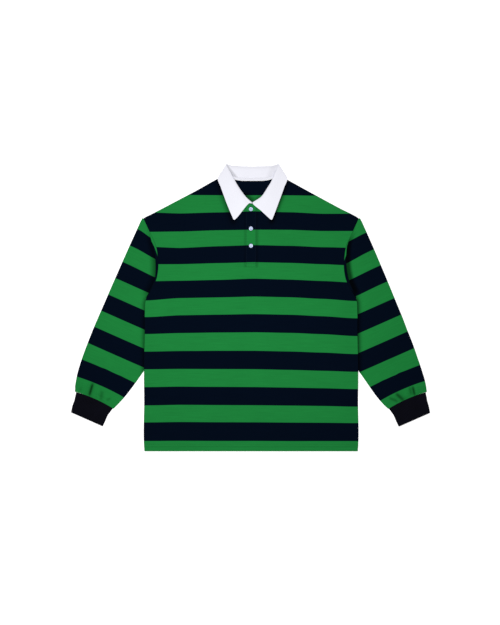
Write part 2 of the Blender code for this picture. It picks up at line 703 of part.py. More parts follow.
def build_buttons(material):
    """Three sewn buttons on the overlap, top one first."""
    for number, height in enumerate(BUTTON_HEIGHTS, 1):
        mesh = turned_button(f"button_{number}")
        mesh.materials.append(material)
        made = bpy.data.objects.new(f"button_{number}", mesh)
        seat = float(front_top(np.array([PLACKET_CENTRE]), np.array([height]))[0])
        seat += 2 * SEAM_GAP + JERSEY_WALL
        made.location = (PLACKET_CENTRE * MM, (height - WHOLE_LENGTH / 2) * MM, seat * MM)
        bpy.context.collection.objects.link(made)
        cutter = hole_cutter()
        cutter.location = made.location
        cut = made.modifiers.new("sewing holes", "BOOLEAN")
        cut.operation = "DIFFERENCE"
        cut.object = cutter


for old in list(bpy.data.objects):
    bpy.data.objects.remove(old, do_unlink=True)

green_jersey = cloth_material("green_and_navy_jersey", "#1E823B", 0.85)
navy_jersey = cloth_material("navy_jersey", "#060F1C", 0.85)
navy_rib = cloth_material("navy_rib", "#0D1018", 0.9)
white_twill = cloth_material("white_twill", "#F2F2FA", 0.8)
pearl = cloth_material("pearl_polyester", "#DCE4F0", 0.25)

build_back(green_jersey)
build_front(green_jersey)
build_sleeve("sleeve_right", -1, RIGHT_SLEEVE_FOLDS, green_jersey)
build_sleeve("sleeve_left", 1, LEFT_SLEEVE_FOLDS, green_jersey)
build_cuff("cuff_right", -1, navy_rib)
build_cuff("cuff_left", 1, navy_rib)
build_collar(white_twill)
build_neck_tape(white_twill)
build_placket(navy_jersey)
build_buttons(pearl)
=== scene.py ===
"""Long-sleeved rugby polo shirt in green and navy stripes, laid flat with its front up.

Metres in the scene, +Z up, the collar towards +Y. Shapes are worked out in millimetres, with x from the
body's centre line, y up from the hem and z up from the surface, and turned to metres as a mesh is made.
"""

from collections import namedtuple
from math import cos, pi, radians, sin

import bmesh
import bpy
import numpy as np
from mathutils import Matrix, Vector


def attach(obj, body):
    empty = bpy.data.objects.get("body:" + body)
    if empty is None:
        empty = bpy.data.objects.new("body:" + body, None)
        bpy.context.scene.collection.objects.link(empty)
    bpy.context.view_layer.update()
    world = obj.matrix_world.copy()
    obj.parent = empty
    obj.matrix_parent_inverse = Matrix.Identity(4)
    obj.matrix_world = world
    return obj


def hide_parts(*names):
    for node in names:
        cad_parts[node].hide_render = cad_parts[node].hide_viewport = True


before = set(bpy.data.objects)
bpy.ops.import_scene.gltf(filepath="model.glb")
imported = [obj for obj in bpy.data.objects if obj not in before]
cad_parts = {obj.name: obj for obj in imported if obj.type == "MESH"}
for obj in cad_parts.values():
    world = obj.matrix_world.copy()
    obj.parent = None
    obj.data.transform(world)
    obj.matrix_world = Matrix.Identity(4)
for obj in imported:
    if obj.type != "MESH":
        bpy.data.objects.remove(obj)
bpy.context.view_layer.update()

# Back panel
# One piece of cotton jersey, knitted from dyed yarns in green and navy stripes about 50 mm deep and cut
# with the stripes level. Its hem is turned up 20 mm inside and sewn with a double needle.

MM = 0.001
WHOLE_LENGTH = 805.8
JERSEY_WALL = 1.4
SEAM_GAP = 0.3
ARMHOLE_GAP = 0.12
CUFF_GAP = 0.05
SHOULDER_HALF = 302.0
SHOULDER_TIP_Y = 654.0
NECK_POINT_Y = 776.4
NECK_HALF = 73.0
NECK_CENTRE = 4.0
BACK_NECK_DEPTH = 16.8
ARMPIT_Y = 431.0
HEM_DEPTH = 20.0
HEM_TURNING = 0.6
SLOT_BOTTOM_ROW = 508.3
HEM_RAISE = 1.0
# Where the two shoulders lie differently from a straight line: at the tips, by the neck and between
RIGHT_TIP_RISE = 1.0
RIGHT_NECK_RISE = 2.1
LEFT_TIP_RISE = 1.4
LEFT_SHOULDER_DIP = 0.8
EDGE_ROUND = 1.3
EDGE_DROP = 0.85

BodySide = namedtuple("BodySide", "height half_width")
BODY_SIDE = (
    BodySide(0.0, 299.0),
    BodySide(12.0, 300.0),
    BodySide(140.0, 300.0),
    BodySide(254.0, 300.0),
    BodySide(330.0, 298.3),
    BodySide(399.0, 297.8),
    BodySide(420.0, 296.6),
    BodySide(ARMPIT_Y, 293.0),
    BodySide(443.0, 286.5),
    BodySide(455.0, 279.5),
    BodySide(480.0, 267.0),
    BodySide(505.0, 261.5),
    BodySide(527.0, 260.3),
    BodySide(546.0, 261.7),
    BodySide(573.0, 265.6),
    BodySide(618.8, 285.7),
    BodySide(SHOULDER_TIP_Y, SHOULDER_HALF),
)

# Stripe edges up the centre front, and how far each stripe droops at six stations beside it
STRIPE = 50.0
BODY_STRIPE_EDGES = (
    29.8, 82.5, 130.1, 181.3, 231.2, 282.9, 334.6, 385.8, 434.9, 485.2, 531.1, 579.3, 622.3, 674.2, 719.0
)
DROOP_STATIONS = (-290.0, -200.0, -90.0, 10.0, 110.0, 200.0, 290.0)
Droop = namedtuple("Droop", "height right_side right_half right_near left_near left_half left_side")
STRIPE_DROOP = (
    Droop(30.0, 0.2, -0.4, 0.0, 0.5, 0.4, 0.4),
    Droop(131.0, 0.6, -1.2, -0.4, 1.0, 2.1, 4.2),
    Droop(232.0, 0.3, -0.7, -0.4, 2.1, 4.6, 7.6),
    Droop(335.0, 5.0, 2.2, 0.6, 1.7, 5.3, 10.7),
    Droop(435.0, 10.8, 4.5, 2.5, 2.2, 6.6, 12.4),
    Droop(484.0, 7.0, 5.9, 3.4, 2.8, 6.5, 10.7),
    Droop(532.0, 5.6, 5.6, 2.5, 2.0, 5.6, 9.0),
    Droop(578.0, 4.5, 8.1, 3.1, 2.0, 5.8, 7.3),
    Droop(623.0, 6.2, 5.0, 1.7, 0.6, 3.8, 3.6),
    Droop(673.0, 2.8, 5.9, 3.1, 2.8, 7.0, 6.7),
    Droop(719.0, 0.0, -0.8, 0.0, 0.3, 1.4, 1.4),
)

# The sleeves lie under the sides of the body, so their edges are needed here
SLEEVE_TIP_X = 306.0
SLEEVE_TIP_Y = 653.0
SLEEVE_DROP = radians(66.2)
SLEEVE_START = 203.0
SLEEVE_END = 517.0
UNDERARM_LIFT = 3.7
UNDERARM_REACH = 66.0
UNDERARM_EASE = 40.0
LIFT_TOP = 32.0
LIFT_EASE = 30.0
SleeveSection = namedtuple("SleeveSection", "along outer inner")
SLEEVE_SECTIONS = (
    SleeveSection(SLEEVE_START, -0.9, 110.0),
    SleeveSection(217.0, -0.9, 136.0),
    SleeveSection(240.0, -0.7, 168.0),
    SleeveSection(275.0, -0.6, 187.0),
    SleeveSection(320.0, -0.4, 189.0),
    SleeveSection(360.0, 0.6, 181.0),
    SleeveSection(383.0, 1.5, 175.7),
    SleeveSection(433.0, 5.0, 164.3),
    SleeveSection(480.0, 12.7, 152.0),
    SleeveSection(SLEEVE_END, 23.4, 140.0),
)


def smooth(share):
    """0 below 0, 1 above 1 and an even S-shaped rise between."""
    share = np.clip(share, 0.0, 1.0)
    return share * share * (3.0 - 2.0 * share)


def through(at, stations, values):
    """Smooth curve through a table: cubic pieces whose slopes are the table's own at each row."""
    at = np.asarray(at, float)
    stations = np.asarray(stations, float)
    values = np.asarray(values, float)
    slopes = np.gradient(values, stations, axis=0)
    row = np.clip(np.searchsorted(stations, at, side="right") - 1, 0, len(stations) - 2)
    step = (stations[row + 1] - stations[row]).reshape(at.shape + (1,) * (values.ndim - 1))
    share = (at - stations[row]).reshape(step.shape) / step
    rest = 1.0 - share
    return (
        (1 + 2 * share) * rest**2 * values[row]
        + share * rest**2 * step * slopes[row]
        + share**2 * (3 - 2 * share) * values[row + 1]
        - share**2 * rest * step * slopes[row + 1]
    )


def column(table, name):
    return np.array([getattr(row, name) for row in table])


def body_half_width(y):
    """Half-width of the body at a height: side seam, armpit and armhole up to the shoulder tip."""
    height = np.clip(y, 0.0, SHOULDER_TIP_Y)
    return through(height, column(BODY_SIDE, "height"), column(BODY_SIDE, "half_width"))


def to_plan(side, along, across):
    """Plan point of a sleeve's own coordinates; side is -1 for the sleeve at -X and 1 for the other."""
    x = SLEEVE_TIP_X + along * cos(SLEEVE_DROP) - across * sin(SLEEVE_DROP)
    y = SLEEVE_TIP_Y - along * sin(SLEEVE_DROP) - across * cos(SLEEVE_DROP)
    return np.stack([side * x, y], axis=-1)


def to_sleeve(x, y):
    """The inverse of to_plan, for points given by their distance from the centre line."""
    right, down = x - SLEEVE_TIP_X, SLEEVE_TIP_Y - y
    return (
        right * cos(SLEEVE_DROP) + down * sin(SLEEVE_DROP),
        down * cos(SLEEVE_DROP) - right * sin(SLEEVE_DROP),
    )


def sleeve_edges(along):
    """Outer and inner edge of a sleeve: on the armhole seam down to the armpit, then by its sections."""
    seam_y = np.linspace(SHOULDER_TIP_Y, ARMPIT_Y, 80)
    seam_along, seam_across = to_sleeve(body_half_width(seam_y), seam_y)
    stations = column(SLEEVE_SECTIONS, "along")
    below = np.maximum(along, stations[0])
    inner = np.where(
        along < stations[0],
        np.interp(along, seam_along, seam_across - ARMHOLE_GAP),
        through(below, stations, column(SLEEVE_SECTIONS, "inner")),
    )
    return through(below, stations, column(SLEEVE_SECTIONS, "outer")), inner


def underarm_lift(x, y):
    """How far the body panels rise to pass over the part of the sleeve that is folded under them."""
    stations = np.linspace(SLEEVE_START, SLEEVE_END, 60)
    hidden = to_plan(1, stations, sleeve_edges(stations)[1])
    edge = np.interp(y, hidden[::-1, 1], hidden[::-1, 0])
    over = smooth((np.abs(x) - edge + UNDERARM_REACH) / UNDERARM_EASE)
    return UNDERARM_LIFT * over * smooth((ARMPIT_Y + LIFT_TOP - y) / LIFT_EASE)


def hem_turning(y):
    """Extra thickness of the hem, which ends in a soft step at the turned-up edge."""
    return HEM_TURNING * smooth((HEM_DEPTH + 1.0 - y) / 3.0)


def body_plan(neckline, steps):
    """Plan points of a body panel, from hem to shoulder line and neckline, left edge to right edge.

    Each column is upright below its point of the top edge, and leans to the side only near the side."""
    tip = np.array([SHOULDER_HALF, SHOULDER_TIP_Y])
    share = np.concatenate([[0.0, 0.002, 0.006], np.linspace(0.012, 1.0, steps, endpoint=False)])[:, None]
    left = tip * (-1, 1) + (neckline[0] - tip * (-1, 1)) * share
    right = tip + (neckline[-1] - tip) * share
    off_seam = smooth(share / 0.03)
    left[:, 1:] += RIGHT_TIP_RISE * off_seam * (1 - smooth(share / 0.12))
    left[:, 1:] += RIGHT_NECK_RISE * smooth((share - 0.6) / 0.3)
    right[:, 1:] += LEFT_TIP_RISE * off_seam * (1 - smooth((share - 0.08) / 0.16))
    right[:, 1:] -= LEFT_SHOULDER_DIP * np.sin(pi * share)
    top = np.concatenate([left, neckline, right[::-1]])
    rows = [[0.0, 0.4, 1.3], np.linspace(3.0, 27.0, 13), np.linspace(30.0, 651.0, 3 * steps)]
    height = np.unique(np.concatenate(rows + [[SLOT_BOTTOM_ROW, 652.6, 653.5, SHOULDER_TIP_Y]]))[:, None]
    across = (top[:, 0] / SHOULDER_HALF + 1) / 2
    narrowing = SHOULDER_HALF - body_half_width(height)
    x = top[:, 0] + narrowing * ((1 - across) ** 6 - across**6)
    y = height + (top[:, 1] - SHOULDER_TIP_Y) * (height / SHOULDER_TIP_Y) ** 3
    y = y + HEM_RAISE * (1 - smooth(height / 24.0))
    return np.stack([x, y], axis=-1), height[:, 0]


def edge_distance(plan):
    """Distance of each point from the nearest sewn or folded edge: side, hem or shoulder."""
    x, y = plan[..., 0], plan[..., 1]
    beside = body_half_width(y) - np.abs(x)
    shoulder = np.where(np.abs(plan[-1, :, 0] - NECK_CENTRE) > NECK_HALF - 1, plan[-1, :, 1] - y, np.inf)
    return np.minimum(np.minimum(beside, y - HEM_RAISE), shoulder)


def rolled_edge(distance):
    """How far a wall's outside turns in over an edge: a quarter round, and nothing further in."""
    out = 1 - np.clip(distance / EDGE_ROUND, 0.0, 1.0)
    return EDGE_DROP * (1 - np.sqrt(1 - out**2))


def stripe_number(distance, edges):
    """Stripe edges passed up to a distance, with the share of the stripe it lies in."""
    known = np.array([edges[0] - STRIPE, *edges, edges[-1] + STRIPE, edges[-1] + 2 * STRIPE])
    return np.interp(distance, known, np.arange(len(known)) - 1.0)


def body_grain(plan):
    """Where each point lies on the flat cloth, in metres: across it, and up it in whole stripes."""
    x, y = plan[..., 0], plan[..., 1]
    table = np.array([[d[1], d[2], d[3], 0.0, d[4], d[5], d[6]] for d in STRIPE_DROOP])
    rows = column(STRIPE_DROOP, "height")
    by_row = through(np.clip(y, rows[0], rows[-1]), rows, table)
    station = np.interp(x, DROOP_STATIONS, np.arange(7.0))
    first = np.minimum(station.astype(int), 5)
    share = station - first
    share = 0.5 * share + 0.5 * smooth(share)
    nearer = np.take_along_axis(by_row, first[..., None], -1)[..., 0]
    further = np.take_along_axis(by_row, first[..., None] + 1, -1)[..., 0]
    level = y + nearer * (1 - share) + further * share
    return np.stack([x, stripe_number(level, BODY_STRIPE_EDGES) * STRIPE], axis=-1) * MM


def beside_line(x, y, start, end, width):
    """Bell-shaped share of nearness to the straight line between two points, fading past its ends."""
    step = np.array(end) - start
    length = np.hypot(*step)
    along = ((x - start[0]) * step[0] + (y - start[1]) * step[1]) / length
    aside = ((y - start[1]) * step[0] - (x - start[0]) * step[1]) / length
    past = np.maximum(np.maximum(-along, along - length), 0.0)
    return np.exp(-(np.hypot(aside, past) / width) ** 2)


def shaped(name, points, faces, grain, material, painted_shade=None):
    """A smooth mesh object from points in millimetres, quads and each corner's place on the cloth.

    Its last argument is the shade painted into the colour at each point, by how deep in a fold or under an
    edge it lies, from 0 to 1."""
    used, faces = np.unique(faces, return_inverse=True)
    faces = faces.reshape(-1, 4)
    mesh = bpy.data.meshes.new(name)
    placed = (points[used] - (0.0, WHOLE_LENGTH / 2, 0.0)) * MM
    mesh.from_pydata(placed.tolist(), [], faces.tolist())
    mesh.uv_layers.new(name="cloth").data.foreach_set("uv", grain.astype(np.float32).ravel())
    # Shade painted into the colour at each point, for the materials to read
    depth = np.zeros(len(used)) if painted_shade is None else painted_shade[used]
    mesh.attributes.new("painted_shade", "FLOAT", "POINT").data.foreach_set("value", depth.astype(np.float32))
    mesh.shade_smooth()
    mesh.set_sharp_from_angle(angle=radians(50))
    mesh.materials.append(material)
    made = bpy.data.objects.new(name, mesh)
    bpy.context.collection.objects.link(made)
    return made


def grid_quads(rows, columns, closed=False):
    """Corner numbers of a grid's quads, wrapped round its columns if closed."""
    i, j = np.meshgrid(np.arange(rows - 1), np.arange(columns if closed else columns - 1), indexing="ij")
    after = (j + 1) % columns
    row, next_row = i * columns, (i + 1) * columns
    return np.stack([row + j, row + after, next_row + after, next_row + j], -1)


def cloth_wall(
    name, outside, inside, grain, material, closed=False, kept=None, turned=False, strip=None, painted_shade=None
):
    """One closed wall: the grid's quads on the outside, the same ones turned over on the inside, and a
    rim between the two along each edge that only one quad uses.

    strip is a mask of quads and the grain that those quads have instead of the others'. Its last argument
    is the shade painted into the colour at each point of the grid, by how deep in a fold it lies."""
    quads = grid_quads(*outside.shape[:2], closed)
    kept = np.ones(quads.shape[:2], bool) if kept is None else kept
    in_strip = np.zeros(quads.shape[:2], bool) if strip is None else strip[0]
    quads, in_strip = quads[kept], in_strip[kept]
    if turned:
        quads = quads[:, [0, 3, 2, 1]]
    points = np.concatenate([outside.reshape(-1, 3), inside.reshape(-1, 3)])
    count = len(points) // 2
    start, end = quads.ravel(), np.roll(quads, -1, axis=1).ravel()
    alone = ~np.isin(end * count + start, start * count + end)
    start, end = start[alone], end[alone]
    rim = np.stack([end, start, start + count, end + count], axis=-1)
    faces = np.concatenate([quads, quads[:, [0, 3, 2, 1]] + count, rim])
    grain = grain.reshape(-1, 2)
    corners = grain[faces % count]
    if strip is not None:
        in_rim = np.repeat(in_strip, 4)[alone]
        changed = np.concatenate([in_strip, in_strip, in_rim])
        corners[changed] = strip[1].reshape(-1, 2)[faces[changed] % count]
    depth = None if painted_shade is None else np.concatenate([painted_shade.ravel(), painted_shade.ravel()])
    return shaped(name, points, faces, corners, material, depth)


def linear(colour):
    """Linear red, green, blue and 1 of an sRGB hex colour."""
    channels = [int(colour[i : i + 2], 16) / 255 for i in (1, 3, 5)]
    return (*[c / 12.92 if c <= 0.04045 else ((c + 0.055) / 1.055) ** 2.4 for c in channels], 1.0)


def add(tree, kind, sockets=None, **settings):
    """Adds one node. settings are its own, and sockets gives each input a value or an output to take."""
    made = tree.nodes.new("ShaderNode" + kind)
    for name, value in settings.items():
        setattr(made, name, value)
    for name, value in (sockets or {}).items():
        if isinstance(value, bpy.types.NodeSocket):
            tree.links.new(value, made.inputs[name])
        else:
            made.inputs[name].default_value = value
    return made


def painted_shade_share(tree):
    """Share of the cloth's own colour that is left where shade is painted into it, in hollows where little
    light gets in.
    """
    painted_shade = add(tree, "Attribute", attribute_name="painted_shade").outputs["Fac"]
    return add(tree, "MapRange", {0: painted_shade, 1: 0.0, 2: 1.0, 3: 1.0, 4: DEEPEST_PAINTED_SHADE}).outputs[0]


def new_material(name, roughness, specular):
    """A material with its shader, whose gloss is the same all over."""
    made = bpy.data.materials.new(name)
    made.use_nodes = True
    shader = made.node_tree.nodes["Principled BSDF"]
    shader.inputs["Roughness"].default_value = roughness
    shader.inputs["Specular IOR Level"].default_value = specular
    return made, made.node_tree, shader


JERSEY_GREEN = "#1D7F3A"
JERSEY_NAVY = "#020A19"
# Real wales and courses are about 0.9 and 0.7 mm. They are drawn coarser, so that a near view shows them.
WALE = 1.8
COURSE = 1.3
STRIPE_EDGE_SOFTNESS = 0.02
# Streaks of uneven dye to a metre, along the courses and across them
STREAKS = (16.0, 520.0, 0.0)
# Share of the cloth's colour that is left where the most shade is painted, deepest in a fold
DEEPEST_PAINTED_SHADE = 0.18


def jersey_material():
    """Yarn-dyed cotton jersey: matt, with a faint nap, wales of small V-shaped loops, and stripes that
    change from one course to the next. Shade is painted into its colour between the loops and in hollows."""
    made, tree, shader = new_material("yarn_dyed_cotton_jersey", 0.9, 0.02)
    cloth = add(tree, "SeparateXYZ", {0: add(tree, "UVMap", uv_map="cloth").outputs[0]}).outputs
    object_place = add(tree, "TexCoord").outputs["Object"]
    wale = add(tree, "Math", {0: cloth[0], 1: WALE * MM}, operation="DIVIDE").outputs[0]
    fold = add(tree, "Math", {0: wale, 1: 0.5}, operation="PINGPONG").outputs[0]
    arm = add(tree, "Math", {0: fold, 1: 0.25}, operation="PINGPONG").outputs[0]
    course = add(tree, "Math", {0: cloth[1], 1: COURSE * MM}, operation="DIVIDE").outputs[0]
    loop = add(tree, "Math", {0: fold, 1: 1.3, 2: course}, operation="MULTIPLY_ADD").outputs[0]
    turn = add(tree, "Math", {0: loop, 1: 2 * pi}, operation="MULTIPLY").outputs[0]
    wave = add(tree, "Math", {0: turn}, operation="SINE").outputs[0]
    ridge = add(tree, "Math", {0: wave, 1: 0.4, 2: 0.6}, operation="MULTIPLY_ADD").outputs[0]
    height = add(tree, "Math", {0: arm, 1: ridge}, operation="MULTIPLY").outputs[0]
    yarn = add(tree, "TexNoise", {"Vector": object_place, "Scale": 900.0, "Detail": 2.0}).outputs[0]
    uneven = add(tree, "TexNoise", {"Vector": object_place, "Scale": 9.0, "Detail": 3.0}).outputs[0]

    phase = add(tree, "Math", {0: cloth[1], 1: pi / (STRIPE * MM)}, operation="MULTIPLY").outputs[0]
    stripe = add(tree, "Math", {0: phase}, operation="SINE").outputs[0]
    navy_share = add(
        tree, "MapRange", {0: stripe, 1: -STRIPE_EDGE_SOFTNESS, 2: STRIPE_EDGE_SOFTNESS}, clamp=True
    ).outputs[0]
    dyed = add(
        tree,
        "Mix",
        {"Factor": navy_share, 6: linear(JERSEY_GREEN), 7: linear(JERSEY_NAVY)},
        data_type="RGBA",
    ).outputs[2]
    along_course = add(tree, "CombineXYZ", {0: cloth[0], 1: cloth[1]}).outputs[0]
    stretched = {0: along_course, 1: STREAKS}
    long_way = add(tree, "VectorMath", stretched, operation="MULTIPLY").outputs[0]
    streak = add(tree, "TexNoise", {"Vector": long_way, "Scale": 1.0, "Detail": 2.0}).outputs[0]
    # Shade painted into the colour in folds, creases and under edges
    painted_shadow = painted_shade_share(tree)
    streaky = add(tree, "MapRange", {0: streak, 1: 0.3, 2: 0.7, 3: 0.93, 4: 1.07}).outputs[0]
    # Painted shade and highlight on the knit: darker where its loops lie low, lighter on their tops
    depth = add(tree, "MapRange", {0: height, 1: 0.0, 2: 0.25, 3: 0.86, 4: 1.06}).outputs[0]
    heather = add(tree, "MapRange", {0: yarn, 1: 0.3, 2: 0.7, 3: 0.95, 4: 1.05}).outputs[0]
    fading = add(tree, "MapRange", {0: uneven, 1: 0.3, 2: 0.7, 3: 0.975, 4: 1.025}).outputs[0]
    shade = add(tree, "Math", {0: depth, 1: heather}, operation="MULTIPLY").outputs[0]
    for part in (fading, streaky, painted_shadow):
        shade = add(tree, "Math", {0: shade, 1: part}, operation="MULTIPLY").outputs[0]
    colour = add(tree, "VectorMath", {0: dyed, "Scale": shade}, operation="SCALE").outputs[0]
    tree.links.new(colour, shader.inputs["Base Color"])
    rough = add(tree, "MapRange", {0: yarn, 3: 0.84, 4: 0.96}).outputs[0]
    tree.links.new(rough, shader.inputs["Roughness"])
    bump = add(tree, "Bump", {"Strength": 0.35, "Distance": 0.4 * MM, "Height": height})
    tree.links.new(bump.outputs[0], shader.inputs["Normal"])
    shader.inputs["Sheen Weight"].default_value = 0.04
    shader.inputs["Sheen Roughness"].default_value = 0.45
    shader.inputs["Sheen Tint"].default_value = linear("#9FC9B4")
    return made


def finished(piece, node, slot, **sheet):
    """Puts a cloth piece in place of its node, on the shirt's one body."""
    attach(piece, "root")
    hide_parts(node)


# Polyester-core thread in the stripe's green, two needles wide along the hem
THREAD_GREEN = "#1A6F34"
HEM_ROWS = (14.4, 19.6)
HEM_STITCH_HALF = 297.5
STITCH_PITCH = 3.2
STITCH_SHARE = 0.78
UP = (0.0, 0.0, 1.0)


def travelled(points, axis):
    """Distance passed along one axis of a grid of points."""
    steps = np.linalg.norm(np.diff(points, axis=axis), axis=-1)
    start = np.zeros_like(steps.take([0], axis=axis))
    return np.concatenate([start, np.cumsum(steps, axis=axis)], axis=axis)


def thread_material(name, colour):
    """Spun polyester thread: a soft gloss, broken up by its twist, with painted shade and highlight along
    the twist's bumps.
    """
    made, tree, shader = new_material(name, 0.6, 0.1)
    place = add(tree, "TexCoord").outputs["Object"]
    twist = add(tree, "TexNoise", {"Vector": place, "Scale": 1800.0, "Detail": 1.0}).outputs[0]
    # Painted shade and highlight: the colour follows the twist's bump heights, darker low and lighter high
    shade = add(tree, "MapRange", {0: twist, 1: 0.3, 2: 0.7, 3: 0.85, 4: 1.1}).outputs[0]
    colour = add(tree, "VectorMath", {0: linear(colour)[:3], "Scale": shade}, operation="SCALE").outputs[0]
    tree.links.new(colour, shader.inputs["Base Color"])
    bump = add(tree, "Bump", {"Strength": 0.3, "Distance": 0.1 * MM, "Height": twist})
    tree.links.new(bump.outputs[0], shader.inputs["Normal"])
    return made


def stitches(name, starts, ends, ups, radius, material):
    """Threads from starts to ends: each a spindle of five six-sided rings, closed at both ends."""
    starts, ends, ups = (np.asarray(v, float).reshape(-1, 3) for v in (starts, ends, ups))
    run = ends - starts
    length = np.linalg.norm(run, axis=-1, keepdims=True)
    aside = np.cross(run / length, ups)
    aside = aside / np.linalg.norm(aside, axis=-1, keepdims=True)
    up = np.cross(aside, run / length)
    share = np.array([0.0, 0.15, 0.5, 0.85, 1.0])
    girth = radius * np.array([0.15, 0.8, 1.0, 0.8, 0.15])
    turn = np.linspace(0.0, 2 * pi, 7)[:-1]
    circle = np.cos(turn)[:, None, None] * aside + np.sin(turn)[:, None, None] * up
    middle = starts + share[:, None, None] * run
    rings = middle[:, None] + girth[:, None, None, None] * circle[None]
    points = np.moveaxis(rings, 2, 0).reshape(-1, 3)
    quads = grid_quads(5, 6, closed=True).reshape(-1, 4)
    caps = np.array([[0, 3, 2, 1], [0, 5, 4, 3], [24, 25, 26, 27], [24, 27, 28, 29]])
    one = np.concatenate([quads, caps])
    faces = (one[None] + (np.arange(len(starts)) * 30)[:, None, None]).reshape(-1, 4)
    return shaped(name, points, faces, np.zeros((len(faces) * 4, 2)), material)


def along_path(path, pitch, share):
    """Starts and ends of equal stitches on a path: one each pitch, covering a share of it."""
    passed = travelled(path[None], 1)[0]
    count = int(passed[-1] // pitch)
    begin = (np.arange(count) + 0.5 * (1 - share)) * pitch
    return [
        np.column_stack([np.interp(at, passed, path[:, k]) for k in range(3)])
        for at in (begin, begin + share * pitch)
    ]


def sewn(piece):
    """Gives a row of stitches its body. It stands for no solid."""
    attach(piece, "root")
    return piece


def hem_stitches(name, height, radius):
    """The hem's two rows of stitches, on the face that is at a height over each point."""
    starts, ends = [], []
    for row in HEM_ROWS:
        x = np.linspace(-HEM_STITCH_HALF, HEM_STITCH_HALF, 400)
        y = np.full_like(x, row)
        begin, end = along_path(np.column_stack([x, y, height(x, y)]), STITCH_PITCH, STITCH_SHARE)
        starts.append(begin)
        ends.append(end)
    made = stitches(name, np.concatenate(starts), np.concatenate(ends), UP, radius, green_thread)
    return sewn(made)


turns = np.linspace(0.0, pi, 41)
back_neckline = np.column_stack(
    [NECK_CENTRE - NECK_HALF * np.cos(turns), NECK_POINT_Y - BACK_NECK_DEPTH * (1 - np.cos(turns) ** 4)]
)
plan, _ = body_plan(back_neckline, 46)
lift = underarm_lift(plan[..., 0], plan[..., 1])
edge = rolled_edge(edge_distance(plan))
outside = np.dstack([plan, lift + edge])
inside = np.dstack([plan, lift + JERSEY_WALL + hem_turning(plan[..., 1])])
jersey = jersey_material()
# Shade painted onto the back panel under the collar, where its two ends meet
painted_shade_under_collar = np.maximum(
    0.95 * beside_line(plan[..., 0], plan[..., 1], (5.0, 697.0), (-16.0, 718.0), 11.0),
    0.5 * beside_line(plan[..., 0], plan[..., 1], (5.0, 697.0), (25.0, 718.0), 4.5),
)
back = cloth_wall("back_panel", outside, inside, body_grain(plan), jersey, turned=True, painted_shade=painted_shade_under_collar)
green_thread = thread_material("green_sewing_thread", THREAD_GREEN)
hem_back_stitches = hem_stitches("hem_stitches_back", lambda x, y: 0.0 * x + 0.14, 0.14)
finished(
    back, "back", "jersey", flat=(0.604, 0.776), area=0.435, rests_on=["floor"],
    with_pieces=[hem_back_stitches],
)

# Front panel
# The same striped jersey, lying on the back panel and a little full between its seams, with the slot of
# a half placket cut down from the neck. Drag lines run from the armholes, and the rest is nearly smooth.

FRONT_NECK_DEPTH = 82.0
BODY_PUFF = 2.0
PLACKET_CENTRE = -0.5
PLACKET_WIDTH = 30.0
PLACKET_BOTTOM_Y = 518.6
PLACKET_SLOT_HALF = 11.5
SIDE_EASE = 45.0
TOP_EASE = 60.0
NECK_FLAT = 25.0
NECK_EASE = 80.0
PLACKET_EASE = 30.0
SHOULDER_SLOPE = 0.53
SEAM_ROLL = 1.9
# Ends of the line along each collar leaf's free edge, beside which shade is painted on the front
COLLAR_TIP = (54.0, 647.0)
COLLAR_CORNER = (98.0, 766.0)

# Soft folds: where the middle of each lies, how far it is turned from +X, its size and its height
Fold = namedtuple("Fold", "x y turn length width height")
FRONT_FOLDS = (
    Fold(-205.0, 545.0, -38.0, 150.0, 26.0, 1.0),
    Fold(-150.0, 470.0, -24.0, 170.0, 34.0, 0.8),
    Fold(208.0, 548.0, 36.0, 140.0, 26.0, 1.0),
    Fold(165.0, 462.0, 20.0, 180.0, 34.0, 0.8),
    Fold(-95.0, 230.0, 12.0, 240.0, 46.0, 0.8),
    Fold(110.0, 330.0, -9.0, 220.0, 42.0, 0.7),
    Fold(60.0, 130.0, 6.0, 260.0, 44.0, 0.7),
    Fold(-234.0, 520.0, -55.0, 110.0, 13.0, 0.9),
    Fold(-212.0, 500.0, -44.0, 120.0, 14.0, -0.8),
    Fold(-248.0, 458.0, -28.0, 90.0, 13.0, 0.8),
    Fold(238.0, 526.0, 56.0, 110.0, 13.0, 0.9),
    Fold(216.0, 496.0, 42.0, 120.0, 14.0, -0.8),
    Fold(252.0, 456.0, 26.0, 90.0, 13.0, 0.8),
    Fold(-128.0, 646.0, 26.0, 150.0, 24.0, 0.9),
    Fold(146.0, 650.0, -24.0, 150.0, 24.0, 0.9),
    Fold(176.0, 690.0, -17.0, 150.0, 11.0, -1.6),
    Fold(-106.0, 694.0, 36.0, 70.0, 12.0, 1.6),
    Fold(-52.0, 420.0, 72.0, 190.0, 30.0, 0.6),
    Fold(44.0, 400.0, 104.0, 190.0, 30.0, 0.6),
    Fold(-200.0, 330.0, 9.0, 200.0, 26.0, 0.8),
    Fold(208.0, 250.0, -7.0, 200.0, 28.0, 0.8),
    Fold(-214.0, 140.0, 12.0, 160.0, 24.0, 0.7),
    Fold(214.0, 112.0, -10.0, 160.0, 24.0, 0.7),
    Fold(-20.0, 58.0, 2.0, 330.0, 20.0, 0.6),
)


def soft_folds(x, y, folds):
    """Sum of soft ridges: bell-shaped across each line, and fading towards its ends."""
    total = np.zeros_like(x)
    for fold in folds:
        turn = radians(fold.turn)
        along = (x - fold.x) * cos(turn) + (y - fold.y) * sin(turn)
        across = (y - fold.y) * cos(turn) - (x - fold.x) * sin(turn)
        ends = smooth((fold.length / 2 - np.abs(along)) / (fold.length / 3))
        total += fold.height * ends * np.exp(-((across / fold.width) ** 2))
    return total


def neck_distance(x, y):
    """Rough distance from the front neckline, which is half an ellipse."""
    across = (x - NECK_CENTRE) / NECK_HALF
    down = (NECK_POINT_Y - y) / FRONT_NECK_DEPTH
    return (np.hypot(across, down) - 1.0) * (NECK_HALF + FRONT_NECK_DEPTH) / 2


def armhole_window(y):
    """1 along the middle of the armhole, and 0 at the armpit and the shoulder tip."""
    return smooth((y - ARMPIT_Y - 5.0) / 25.0) * smooth((SHOULDER_TIP_Y - 12.0 - y) / 30.0)


